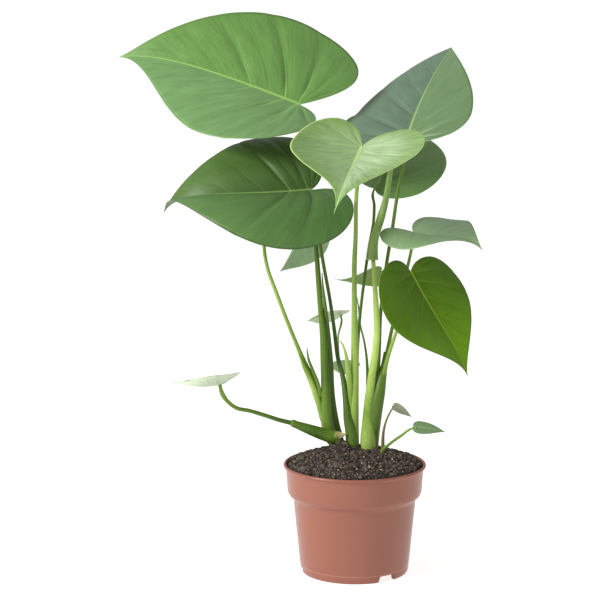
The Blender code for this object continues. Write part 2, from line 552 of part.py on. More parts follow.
def main():
    for obj in list(bpy.data.objects):
        bpy.data.objects.remove(obj)
    plastic = new_material("terracotta_plastic", (0.36, 0.15, 0.1), 0.4)
    peat = new_material("peat", (0.035, 0.024, 0.018), 0.95)
    leaf = new_material("leaf", (0.07, 0.17, 0.05), 0.4)
    pale_leaf = new_material("pale_leaf", (0.2, 0.3, 0.13), 0.45)
    stalk = new_material("stalk", (0.16, 0.27, 0.07), 0.5)
    withered = new_material("withered_leaf", (0.2, 0.15, 0.09), 0.7)

    build_pot(plastic)
    build_soil(peat, ROOTS)

    fuse("stems_left", [
        tube("a", ends_at(TOP_LEFT_STEM, "leaf_top_left", 2.0), 22),
        tube("b", LEFT_SHEATH, 9),
        tube("c", ends_at(BACK_LEFT_STEM, "leaf_back_left", 1.6), 22),
        tube("d", SPIKE, 5, sides=6),
        root_plug("e", *ROOT_LEFT, 153.0),
    ], stalk)
    fuse("stems_middle", [
        tube("a", ends_at(FRONT_STEM, "leaf_front", 2.1), 18),
        tube("b", ends_at(BACK_RIGHT_STEM, "leaf_back_right", 1.2), 12),
        tube("c", ends_at(MIDDLE_LEFT_STEM, "leaf_middle_left", 1.9), 18),
        tube("d", CURLED_SHEATH, 8),
        tube("e", ends_at(SMALL_BACK_STEM, "leaf_small_back", 1.0), 9, sides=6),
        tube("f", ends_at(LOWEST_BACK_STEM, "leaf_lowest_back", 1.0), 7, sides=6),
        root_plug("g", *ROOT_MIDDLE, 150.0),
    ], stalk)
    fuse("stems_right", [
        tube("a", FURLED_STEM, 14),
        tube("b", RIGHT_SHEATH, 8),
        tube("c", ends_at(SIDE_RIGHT_STEM, "leaf_side_right", 1.7), 12),
        tube("d", ends_at(HANGING_STEM, "leaf_hanging_right", 1.7), 11),
        tube("e", ends_at(TOP_RIGHT_STEM, "leaf_top_right", 1.7), 15),
        tube("f", FREE_SHEATH, 8, sides=6),
        tube("g", ends_at(BEHIND_MIDDLE_STEM, "leaf_behind_middle", 1.0), 9, sides=6),
        root_plug("h", *ROOT_RIGHT, 150.0),
    ], stalk)
    stem = tube("stem_low", ends_at(LOW_STEM, "leaf_low_left", 2.0), 18, sides=10)
    stem.data.materials.append(stalk)
    shade(stem)

    furled = tube("furled_leaf", FURLED_LEAF, 14, sides=12, wave=0.4)
    furled.data.materials.append(leaf)
    shade(furled)

    dry = Blade((46, 2, 200), 26, -18, -27, 60, fold=35, width=0.22, lobe=0.08, rows=6, columns=2)
    fresh = Blade((68, -20, 180), 39.5, -8, -5, 46, fold=12, width=0.22, lobe=0.02, rows=8,
                  columns=2)
    fuse("seedling_dry", [tube("a", DRY_STEM, 9), dry.build("b", None)], withered)
    fuse("seedling_fresh", [tube("a", FRESH_STEM, 9), fresh.build("b", None)], leaf)

    for name, blade in BLADES.items():
        blade.build(name, pale_leaf if name in ("leaf_front", "leaf_low_left") else leaf)


main()
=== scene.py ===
# %% [markdown]
# # A young monstera in a nursery pot
#
# The plant stands 65 cm high in a 17 cm pot: three clumps of stalks, twelve heart-shaped
# blades, one new leaf that is still rolled up, and two seedlings.  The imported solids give
# every place and size.  This file grows the finished surfaces around them, one kind of
# piece at a time.  Lengths are in millimetres until a mesh is written, in metres.

# %% Load the frame
import math

import bpy
import numpy as np
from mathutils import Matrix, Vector


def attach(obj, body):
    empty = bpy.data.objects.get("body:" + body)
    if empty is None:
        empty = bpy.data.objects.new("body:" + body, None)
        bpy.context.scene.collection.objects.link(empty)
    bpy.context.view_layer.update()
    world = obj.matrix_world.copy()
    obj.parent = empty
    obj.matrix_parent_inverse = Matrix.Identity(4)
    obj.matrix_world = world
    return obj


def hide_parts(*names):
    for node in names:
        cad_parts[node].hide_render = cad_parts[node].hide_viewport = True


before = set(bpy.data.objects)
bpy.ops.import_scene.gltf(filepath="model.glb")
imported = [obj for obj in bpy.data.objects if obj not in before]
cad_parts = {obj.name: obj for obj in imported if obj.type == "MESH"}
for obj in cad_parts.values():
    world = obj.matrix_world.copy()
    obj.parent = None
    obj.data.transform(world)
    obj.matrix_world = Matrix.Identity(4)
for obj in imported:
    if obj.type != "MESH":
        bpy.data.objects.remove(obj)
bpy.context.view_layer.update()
MM = 0.001
SEED = 41
BODY = "root"
print("solids:", ", ".join(sorted(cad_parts)))

# %% [markdown]
# ## The camera
#
# The photograph looks down on the pot's rim a little, from far away with a long lens, so
# that the pot's sides hardly converge.  The rim's oval and the foot's curve fix the height
# and the pitch of the camera, and the pot's width fixes its distance.

# %% Camera
CAMERA_AT = (-0.0651, -2.6, 0.773)
CAMERA_PITCH = 9.72          # degrees below level
LENS = 134.7                 # mm, on a 36 mm wide square frame

camera_data = bpy.data.cameras.new("camera")
camera_data.lens = LENS
camera_data.sensor_width = 36.0
camera_data.sensor_fit = "HORIZONTAL"
camera_data.clip_end = 100.0
camera = bpy.data.objects.new("camera", camera_data)
camera.location = CAMERA_AT
camera.rotation_euler = (math.radians(90 - CAMERA_PITCH), 0.0, 0.0)
bpy.context.scene.collection.objects.link(camera)
bpy.context.scene.camera = camera
print("camera at", CAMERA_AT)

# %% [markdown]
# ## Helpers for surfaces
#
# Every new piece is a grid of points worked out with numpy.  A grid that closes on itself
# is a tube, and a flat grid is a sheet.  One function turns any set of points and faces
# into a mesh, and hands named values to its points, so that a material can follow the
# surface: how far along a stalk a point lies, or how far it is from the nearest vein.

# %% Mesh helper
def new_piece(name, points, faces, materials, face_material=None, values=None, replaces=()):
    """Write points (mm) and faces into a mesh object that rides on the plant.

    values maps a name to one number, or to three numbers, for each point.
    """
    mesh = bpy.data.meshes.new(name)
    mesh.from_pydata((np.asarray(points, float) * MM).tolist(), [], [list(map(int, f)) for f in faces])
    for material in materials:
        mesh.materials.append(material)
    if face_material is not None:
        mesh.polygons.foreach_set("material_index", np.asarray(face_material, np.int32))
    for key, value in (values or {}).items():
        value = np.asarray(value, np.float32)
        vector = value.ndim == 2
        attribute = mesh.attributes.new(key, "FLOAT_VECTOR" if vector else "FLOAT", "POINT")
        attribute.data.foreach_set("vector" if vector else "value", value.ravel())
    mesh.update()
    mesh.shade_smooth()
    obj = bpy.data.objects.new(name, mesh)
    bpy.context.scene.collection.objects.link(obj)
    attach(obj, BODY)
    for node in replaces:
        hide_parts(node)
    print(f"{name}: {len(points)} points, {len(faces)} faces")
    return obj


def grid_faces(rows, columns, wrap=False):
    """Quads between neighbouring rows and columns of a grid, closed round each row if wrap."""
    i, j = np.meshgrid(np.arange(rows - 1), np.arange(columns if wrap else columns - 1), indexing="ij")
    j_next = (j + 1) % columns
    return np.stack([i * columns + j, i * columns + j_next, (i + 1) * columns + j_next,
                     (i + 1) * columns + j], -1).reshape(-1, 4)


def spline(points, steps):
    """Smooth curve through rows of values, with points evenly spaced by length.

    Between two rows it is the cubic whose slopes are the chords of their neighbours.
    """
    rows = np.array(points, float)
    place = np.concatenate([[0], np.cumsum(np.linalg.norm(np.diff(rows[:, :3], axis=0), axis=1))])
    slope = np.gradient(rows, place, axis=0)
    at = np.linspace(0, place[-1], steps + 1)
    k = np.clip(np.searchsorted(place, at, side="right") - 1, 0, len(rows) - 2)
    span = (place[k + 1] - place[k])[:, None]
    u = ((at - place[k]) / span[:, 0])[:, None]
    return ((2 * u**3 - 3 * u**2 + 1) * rows[k] + (u**3 - 2 * u**2 + u) * span * slope[k]
            + (3 * u**2 - 2 * u**3) * rows[k + 1] + (u**3 - u**2) * span * slope[k + 1])


def smooth_step(low, high, value):
    """0 below low, 1 above high, and the curve 3t^2 - 2t^3 between."""
    t = np.clip((value - low) / (high - low), 0, 1)
    return t * t * (3 - 2 * t)


# %% [markdown]
# ## Helpers for materials
#
# Two effects come back in almost every material here.  Living tissue and plastic are both
# mottled: their colour drifts a little over centimetres and again over a millimetre.  And
# leaves and stalks are streaked along their growth.  Each effect is a node group, built
# once, with its own values in each material.

# %% Node helpers
def socket(group, name, kind, value=None, output=False):
    item = group.interface.new_socket(name, in_out="OUTPUT" if output else "INPUT", socket_type=kind)
    if value is not None:
        item.default_value = value
    return item


def add_node(tree, kind, inputs=None, **settings):
    """New node; inputs maps a socket's name or number to a value or to another socket."""
    node = tree.nodes.new(kind)
    for key, value in settings.items():
        setattr(node, key, value)
    for key, value in (inputs or {}).items():
        if isinstance(value, bpy.types.NodeSocket):
            tree.links.new(value, node.inputs[key])
        else:
            node.inputs[key].default_value = value
    return node


def maths(tree, operation, a, b=0.0, c=0.0):
    return add_node(tree, "ShaderNodeMath", {0: a, 1: b, 2: c}, operation=operation).outputs[0]


def mix_colour(tree, factor, a, b, blend="MIX"):
    node = add_node(tree, "ShaderNodeMix", data_type="RGBA", blend_type=blend)
    for index, value in ((0, factor), (6, a), (7, b)):
        if isinstance(value, bpy.types.NodeSocket):
            tree.links.new(value, node.inputs[index])
        elif index:
            node.inputs[index].default_value = (*value, 1.0)
        else:
            node.inputs[index].default_value = value
    return node.outputs[2]


def rise(tree, value, low, high):
    """0 where value is under low, 1 over high, smooth between."""
    node = add_node(tree, "ShaderNodeMapRange", {0: value, 1: low, 2: high}, interpolation_type="SMOOTHSTEP")
    return node.outputs[0]


def attribute(tree, name, output="Fac"):
    return add_node(tree, "ShaderNodeAttribute", attribute_name=name).outputs[output]


def linear(r, g, b):
    """Colour as it is seen on a screen, 0 to 255, to the linear value that a shader takes."""
    c = np.array((r, g, b)) / 255
    return tuple(float(x) for x in np.where(c <= 0.04045, c / 12.92, ((c + 0.055) / 1.055)**2.4))


# %% Mottle group
mottle = bpy.data.node_groups.new("mottle", "ShaderNodeTree")
socket(mottle, "Colour", "NodeSocketColor", (0.5, 0.5, 0.5, 1.0))
socket(mottle, "Patch size", "NodeSocketFloat", 0.03)
socket(mottle, "Patch strength", "NodeSocketFloat", 0.2)
socket(mottle, "Speck size", "NodeSocketFloat", 0.002)
socket(mottle, "Speck strength", "NodeSocketFloat", 0.1)
socket(mottle, "Colour", "NodeSocketColor", output=True)
socket(mottle, "Height", "NodeSocketFloat", output=True)


def build_mottle(tree):
    """Colour times (1 + patches + specks); both are noise on Object coordinates."""
    given = tree.nodes.new("NodeGroupInput").outputs
    result = tree.nodes.new("NodeGroupOutput")
    where = tree.nodes.new("ShaderNodeTexCoord").outputs["Object"]
    parts = []
    for size, strength in (("Patch size", "Patch strength"), ("Speck size", "Speck strength")):
        scale = maths(tree, "DIVIDE", 1.0, given[size])
        noise = add_node(tree, "ShaderNodeTexNoise", {"Vector": where, "Scale": scale, "Detail": 3.0})
        parts.append(maths(tree, "MULTIPLY", maths(tree, "SUBTRACT", noise.outputs[0], 0.5), given[strength]))
    total = maths(tree, "ADD", parts[0], parts[1])
    factor = maths(tree, "MULTIPLY_ADD", total, 2.0, 1.0)
    shade = add_node(tree, "ShaderNodeVectorMath", {0: given["Colour"], "Scale": factor}, operation="SCALE")
    tree.links.new(shade.outputs[0], result.inputs["Colour"])
    tree.links.new(total, result.inputs["Height"])


build_mottle(mottle)
print("node group:", mottle.name)

# %% Streak group
streak = bpy.data.node_groups.new("streak", "ShaderNodeTree")
socket(streak, "Vector", "NodeSocketVector")
socket(streak, "Density", "NodeSocketFloat", 6.0)
socket(streak, "Stretch", "NodeSocketFloat", 0.06)
socket(streak, "Streak", "NodeSocketFloat", output=True)


def build_streak(tree):
    """Noise that is squeezed along the third coordinate, so that it runs lengthwise."""
    given = tree.nodes.new("NodeGroupInput").outputs
    result = tree.nodes.new("NodeGroupOutput")
    apart = add_node(tree, "ShaderNodeSeparateXYZ", {0: given["Vector"]}).outputs
    long = maths(tree, "MULTIPLY", apart[2], given["Stretch"])
    where = add_node(tree, "ShaderNodeCombineXYZ", {0: apart[0], 1: apart[1], 2: long}).outputs[0]
    noise = add_node(tree, "ShaderNodeTexNoise", {"Vector": where, "Scale": given["Density"], "Detail": 4.0})
    tree.links.new(noise.outputs[0], result.inputs["Streak"])


build_streak(streak)
print("node group:", streak.name)


def use_group(tree, group, **inputs):
    """Place a node group; a name's underscores stand for the spaces in its sockets' names."""
    node = tree.nodes.new("ShaderNodeGroup")
    node.node_tree = group
    for key, value in inputs.items():
        target = node.inputs[key.replace("_", " ")]
        if isinstance(value, bpy.types.NodeSocket):
            tree.links.new(value, target)
        else:
            target.default_value = (*value, 1.0) if isinstance(value, tuple) and len(value) == 3 else value
    return node


def new_material(name, roughness, **shader_values):
    """Material with a Principled shader whose plain values are set on its own sockets."""
    material = bpy.data.materials.new(name)
    material.use_nodes = True
    tree = material.node_tree
    shader = tree.nodes["Principled BSDF"]
    shader.inputs["Roughness"].default_value = roughness
    for key, value in shader_values.items():
        shader.inputs[key.replace("_", " ")].default_value = value
    return material, tree, shader


def bump(tree, shader, height, strength, distance):
    node = add_node(tree, "ShaderNodeBump", {"Height": height, "Strength": strength, "Distance": distance})
    tree.links.new(node.outputs[0], shader.inputs["Normal"])

# %% [markdown]
# ## The shape of a blade
#
# A young monstera leaf is a heart: two round lobes behind the point where the stalk meets
# it, and a long taper to a drip tip.  The flat outline of each half is two cubic curves.
# Side veins run from the midrib to the margin, so the grid follows them: one row for each
# vein line.  The flat grid is then carried over a midrib that arches, with the halves
# folded up from it and cupped.  Last, the tissue swells a little between the main veins.

# %% Blade surface
WIDEST_AT = 0.2              # share of the length where a blade is widest
SIDE_VEIN_POWER = 2.6        # where a side vein leaves the midrib
LOBE_SHARE = 0.45            # share of the rows that go round the lobe
MAIN_VEINS = ((0.16, 0.5), (0.3, 0.6), (0.43, 0.9), (0.545, 1.0), (0.665, 0.9), (0.76, 0.6), (0.85, 0.4))
BLADE_THICKNESS = 0.7


def bezier(t, a, b, c, d):
    t = t[:, None]
    a, b, c, d = (np.array(p, float) for p in (a, b, c, d))
    return (1 - t)**3 * a + 3 * t * (1 - t)**2 * b + 3 * t * t * (1 - t) * c + t**3 * d


class Blade:
    """Pose and outline of one blade: lengths in mm, angles in degrees.

    seat is where the stalk meets it.  heading, rise and roll turn the midrib and the blade
    about it, fold lifts the halves, cup curls them down, arch, droop and sweep bend the
    midrib and twist turns the blade towards its tip.  width, lobe, notch, shoulder and
    point shape the outline as shares of the length.  A pair is for the right and left half.
    veins are the rows of the main side veins, each with how much it stands out.
    """

    def __init__(self, seat, length, heading, rise, roll, fold=12, cup=28, arch=8, droop=14,
                 sweep=0, twist=0, width=0.46, lobe=0.17, notch=0.03, shoulder=0.82,
                 point=0.14, swell=1.0, veins=MAIN_VEINS, rows=11, columns=22):
        self.seat, self.length = np.array(seat, float), length
        self.heading, self.rise, self.roll = heading, rise, roll
        self.fold, self.cup, self.arch, self.droop = self.pair(fold), cup, arch, droop
        self.sweep, self.twist, self.swell = sweep, twist, swell
        self.width, self.lobe, self.notch = self.pair(width), self.pair(lobe), self.pair(notch)
        self.shoulder, self.point = self.pair(shoulder), self.pair(point)
        self.veins = np.array(veins)
        self.rows, self.columns = rows, columns

    @staticmethod
    def pair(value):
        return value if isinstance(value, tuple) else (value, value)

    def axes(self):
        """Unit vectors along the midrib, to the right and up at the seat."""
        heading, rise, roll = (math.radians(a) for a in (self.heading, self.rise, self.roll))
        along = np.array([math.cos(rise) * math.cos(heading), math.cos(rise) * math.sin(heading),
                          math.sin(rise)])
        level = np.array([math.sin(heading), -math.cos(heading), 0.0])
        up = np.cross(level, along)
        return along, level * math.cos(roll) - up * math.sin(roll), up * math.cos(roll) + level * math.sin(roll)

    def outline(self, row, half):
        """Margin of one half, flat, for rows from 0 at the notch to 1 at the tip."""
        width, lobe, notch, shoulder, point = (
            v[half] for v in (self.width, self.lobe, self.notch, self.shoulder, self.point))
        lobed = bezier(row / LOBE_SHARE, (0, 0), (-1.2 * lobe, notch * width),
                       (-1.3 * lobe, 0.98 * width), (WIDEST_AT, width))
        tapered = bezier((row - LOBE_SHARE) / (1 - LOBE_SHARE), (WIDEST_AT, width),
                         (WIDEST_AT + 0.36, 1.01 * width), (shoulder, point * width), (1, 0))
        return np.where((row < LOBE_SHARE)[:, None], lobed, tapered)

    def bend(self, u, v, half):
        """Carry flat points to their place on the folded and arched blade."""
        along, right, up = self.axes()
        sign = 1 - 2 * half
        g = np.linspace(-0.35, 1.02, 275)
        dip = np.radians(self.arch * g + self.droop * np.clip(g, 0, None)**4)
        swing = np.radians(self.sweep * g)

        def travel(rate):
            total = np.concatenate([[0], np.cumsum((rate[1:] + rate[:-1]) / 2)]) * (g[1] - g[0])
            return np.interp(u, g, total - np.interp(0, g, total)) * self.length

        ahead = travel(np.cos(dip) * np.cos(swing))
        below = travel(np.sin(dip))
        aside = travel(np.cos(dip) * np.sin(swing))
        dip, swing = np.interp(u, g, dip), np.interp(u, g, swing)
        lift = math.radians(self.fold[half])
        curl = math.radians(self.cup) / sum(self.width) * 2 + 1e-9
        out = (math.sin(lift) - np.sin(lift - curl * v)) / curl * self.length * sign
        high = (np.cos(lift - curl * v) - math.cos(lift)) / curl * self.length
        turn = np.radians(self.twist) * u
        sideways = out * np.cos(turn) + high * np.sin(turn)
        upwards = high * np.cos(turn) - out * np.sin(turn)
        tangent = ((np.cos(dip) * np.cos(swing))[..., None] * along - np.sin(dip)[..., None] * up
                   + (np.cos(dip) * np.sin(swing))[..., None] * right)
        across = np.cos(swing)[..., None] * right - np.sin(swing)[..., None] * along
        return (self.seat + ahead[..., None] * along - below[..., None] * up
                + aside[..., None] * right + sideways[..., None] * across
                + upwards[..., None] * np.cross(across, tangent))

    def row_places(self):
        """Rows from notch to tip, the same number between each two main veins."""
        stops = np.array((0.0, *self.veins[:, 0], 1.0))
        share = np.linspace(0, 1, self.rows + 1)[:-1]
        rows = (stops[:-1, None] + np.diff(stops)[:, None] * share).ravel()
        between = np.tile(share, len(stops) - 1)
        return np.append(rows, 1.0), np.append(between, 0.0)

    def half(self, half):
        """Points of one half, row by row, with what its material needs to know of each."""
        rows, between = self.row_places()
        margin = self.outline(rows, half)
        root = np.stack([np.clip(margin[:, 0], 0, 1)**SIDE_VEIN_POWER, 0 * rows], -1)
        back = 0.1 * np.clip(rows / LOBE_SHARE, 0, 1) * margin[:, 1]
        bow = (root + margin) / 2 - np.stack([back, 0 * back], -1)
        t = np.linspace(0, 1, self.columns + 1)[None, :]**0.9
        w = t[..., None]
        flat = (1 - w)**2 * root[:, None] + 2 * w * (1 - w) * bow[:, None] + w * w * margin[:, None]
        points = self.bend(flat[..., 0], flat[..., 1], half)
        vein_rows = np.arange(1, len(self.veins) + 1) * self.rows
        gap = np.linalg.norm(flat[:, None] - flat[vein_rows][None], axis=-1) * self.length
        strength = self.veins[None, :, 1:]
        vein_width = (1.0 - 0.75 * t)[:, None] * strength * self.length / 250 + 0.15
        side_vein = (gap / vein_width).min(axis=1)
        rib_width = (2.3 * (1 - flat[..., 0].clip(0, 1))**1.2 + 0.25) * self.length / 250 + 0.2
        rib = flat[..., 1] * self.length / rib_width
        crease = (strength * np.exp(-np.abs(gap) / (0.018 * self.length))).max(axis=1)
        swelling = np.sin(np.pi * between)[:, None]**0.8 * (1 - 0.75 * t**2)
        height = self.swell * self.length / 250 * smooth_step(0, 0.3, t) * (
            0.8 * swelling - 2.2 * crease * (1 - 0.85 * t**2))
        from_seat = np.hypot(flat[..., 0], flat[..., 1])
        height = height * smooth_step(0.01, 0.1, from_seat) * (1 - smooth_step(0.6, 0.95, rows))[:, None]
        return {"point": points, "height": height, "side_vein": side_vein, "rib": rib,
                "row": rows[:, None] + 0 * t, "across": t + 0 * rows[:, None],
                "side": np.full(side_vein.shape, float(half)), "reach": flat[..., 0]}


# %% [markdown]
# ## From a surface to a leaf
#
# Moving the surface along its normals, half the thickness each way, gives the two skins, and
# a strip round the margin closes the leaf.  Points that fall together, such as those at the
# seat and at the tip, are merged first.  Row 0 has no width, so the leaf starts with row 1.

# %% Blade mesh
def surface_normals(grid):
    """Normals of a grid of points, from the differences of its neighbours."""
    return np.cross(np.gradient(grid, axis=1), np.gradient(grid, axis=0))


def closed_sheet(grid, thickness, height=0.0):
    """Skins, faces and owner (0 upper, 1 lower) of a grid with a right side and a thickness."""
    rows, columns = grid.shape[:2]
    _, first, index = np.unique(np.round(grid.reshape(-1, 3), 3), axis=0, return_index=True,
                                return_inverse=True)
    index = index.reshape(rows, columns)
    count = len(first)
    total = np.zeros((count, 3))
    np.add.at(total, index.ravel(), surface_normals(grid).reshape(-1, 3))
    normal = total / np.maximum(np.linalg.norm(total, axis=1, keepdims=True), 1e-9)
    thick = np.broadcast_to(thickness, (rows, columns)).ravel()[first, None] / 2
    middle = grid.reshape(-1, 3)[first] + normal * np.broadcast_to(height, (rows, columns)).ravel()[first, None]
    corners = index.ravel()[grid_faces(rows, columns)].tolist()
    upper = [f for f in (list(dict.fromkeys(c)) for c in corners) if len(f) > 2]
    lower = [[n + count for n in reversed(f)] for f in upper]
    loop = np.concatenate([index[0], index[1:, -1], index[-1, -2::-1], index[-2:0:-1, 0]])
    loop = loop[loop != np.roll(loop, 1)]
    after = np.roll(loop, -1)
    rim = np.stack([after, loop, loop + count, after + count], -1).tolist()
    owner = [0] * len(upper) + [1] * (len(lower) + len(rim))
    return np.concatenate([middle + normal * thick, middle - normal * thick]), upper + lower + rim, owner, first


def blade_piece(name, blade, materials, replaces=(), thickness=BLADE_THICKNESS):
    points, faces, owner, values = blade_mesh(blade, thickness)
    return new_piece(name, points, faces, materials, owner, values, replaces)


def blade_mesh(blade, thickness):
    right, left = blade.half(0), blade.half(1)
    field = {key: np.concatenate([left[key][1:, :0:-1], right[key][1:]], axis=1) for key in right}
    thick = thickness * (1 - 0.45 * field["across"]**2)
    points, faces, owner, first = closed_sheet(field["point"], thick, field["height"])
    values = {key: np.tile(field[key].ravel()[first], 2) for key in ("side_vein", "rib", "across", "side", "reach")}
    flow = np.stack([field["row"] * 40, field["side"] * 5, field["across"] * 2], -1)
    values["flow"] = np.tile(flow.reshape(-1, 3)[first], (2, 1))
    return points, faces, owner, values


# %% [markdown]
# ## Leaf materials
#
# The upper skin is waxy: a soft gloss over green that is streaked along the side veins.  The
# midrib and the main side veins are paler, and each half may have its own shade, because
# one half often catches a pale sheen that the other does not.  The underside is paler and
# dull.

# %% Leaf skin group
leaf_skin = bpy.data.node_groups.new("leaf_skin", "ShaderNodeTree")
socket(leaf_skin, "Right half", "NodeSocketColor", (0.1, 0.2, 0.05, 1.0))
socket(leaf_skin, "Left half", "NodeSocketColor", (0.1, 0.2, 0.05, 1.0))
socket(leaf_skin, "Vein", "NodeSocketColor", (0.3, 0.4, 0.1, 1.0))
socket(leaf_skin, "Edge", "NodeSocketColor", (0.1, 0.2, 0.05, 1.0))
# Outer: a deeper green towards the margin. It is painted shade on curled lobes, set against a centre painted pale
# with sheen.
socket(leaf_skin, "Outer", "NodeSocketColor", (0.1, 0.2, 0.05, 1.0))
socket(leaf_skin, "Outer strength", "NodeSocketFloat", 0.0)
socket(leaf_skin, "Side vein strength", "NodeSocketFloat", 0.6)
socket(leaf_skin, "Streak strength", "NodeSocketFloat", 0.3)
# Tip gain brightens the colour towards the tip: painted light.
socket(leaf_skin, "Tip gain", "NodeSocketFloat", 1.0)
socket(leaf_skin, "Colour", "NodeSocketColor", output=True)
socket(leaf_skin, "Roughness", "NodeSocketFloat", output=True)
socket(leaf_skin, "Height", "NodeSocketFloat", output=True)


def build_leaf_skin(tree):
    """Half colours, streaked and mottled, then veins and the margin's own colour over them."""
    given = tree.nodes.new("NodeGroupInput").outputs
    result = tree.nodes.new("NodeGroupOutput")
    side = rise(tree, attribute(tree, "side"), 0.3, 0.7)
    base = mix_colour(tree, side, given["Right half"], given["Left half"])
    # Painted shade: the outer part of each half is mixed towards the Outer green.
    outer = maths(tree, "MULTIPLY", rise(tree, attribute(tree, "across"), 0.4, 0.95), given["Outer strength"])
    base = mix_colour(tree, outer, base, given["Outer"])
    fine = use_group(tree, streak, Vector=attribute(tree, "flow", "Vector"), Density=3.5, Stretch=0.6)
    broad = use_group(tree, streak, Vector=attribute(tree, "flow", "Vector"), Density=0.9, Stretch=1.5)
    lines = maths(tree, "MULTIPLY_ADD", broad.outputs[0], 0.5, fine.outputs[0])
    lines = maths(tree, "SUBTRACT", lines, 0.75)
    factor = maths(tree, "MULTIPLY_ADD", maths(tree, "MULTIPLY", lines, given["Streak strength"]), 2.0, 1.0)
    # Painted light: Tip gain raises the colour towards the tip.
    near_tip = rise(tree, attribute(tree, "reach"), 0.25, 0.8)
    gain = maths(tree, "MULTIPLY_ADD", near_tip, maths(tree, "SUBTRACT", given["Tip gain"], 1.0), 1.0)
    factor = maths(tree, "MULTIPLY", factor, gain)
    streaked = add_node(tree, "ShaderNodeVectorMath", {0: base, "Scale": factor}, operation="SCALE").outputs[0]
    skin = use_group(tree, mottle, Colour=streaked, Patch_size=0.05, Patch_strength=0.14,
                     Speck_size=0.0016, Speck_strength=0.1)
    ribs = maths(tree, "SUBTRACT", 1.0, rise(tree, attribute(tree, "rib"), 0.55, 1.25))
    veins = maths(tree, "SUBTRACT", 1.0, rise(tree, attribute(tree, "side_vein"), 0.2, 1.1))
    fading = maths(tree, "SUBTRACT", 1.0, rise(tree, attribute(tree, "across"), 0.1, 0.85))
    veins = maths(tree, "MULTIPLY", maths(tree, "MULTIPLY", veins, fading), given["Side vein strength"])
    light = maths(tree, "MAXIMUM", ribs, veins)
    colour = mix_colour(tree, light, skin.outputs["Colour"], given["Vein"])
    edge = rise(tree, attribute(tree, "across"), 0.975, 0.995)
    colour = mix_colour(tree, edge, colour, given["Edge"])
    tree.links.new(colour, result.inputs["Colour"])
    rough = add_node(tree, "ShaderNodeMapRange", {0: lines, 1: -0.3, 2: 0.3, 3: 0.33, 4: 0.5}).outputs[0]
    tree.links.new(rough, result.inputs["Roughness"])
    height = maths(tree, "MULTIPLY_ADD", lines, 0.5, maths(tree, "MULTIPLY", light, 0.6))
    tree.links.new(height, result.inputs["Height"])


build_leaf_skin(leaf_skin)


def leaf_material(name, right, left=None, vein=(150, 175, 95), edge=None, outer=None, veins=0.55,
                  streaks=0.22, specular=0.4, tip=1.0):
    """Upper skin; colours are as seen, 0 to 255, for the right half, the left half and the veins."""
    material, tree, shader = new_material(name, 0.4, Specular_IOR_Level=specular)
    skin = use_group(tree, leaf_skin, Right_half=linear(*right), Left_half=linear(*(left or right)),
                     Vein=linear(*vein), Edge=linear(*(edge or right)), Outer=linear(*(outer or right)),
                     Outer_strength=0.75 if outer else 0.0, Side_vein_strength=veins,
                     Streak_strength=streaks, Tip_gain=tip)
    tree.links.new(skin.outputs["Colour"], shader.inputs["Base Color"])
    tree.links.new(skin.outputs["Roughness"], shader.inputs["Roughness"])
    bump(tree, shader, skin.outputs["Height"], 0.35, 0.0006)
    return material


UNDERSIDE = leaf_material("leaf_underside", (150, 172, 120), vein=(185, 200, 150), streaks=0.12, specular=0.25)
print("leaf skin ready")
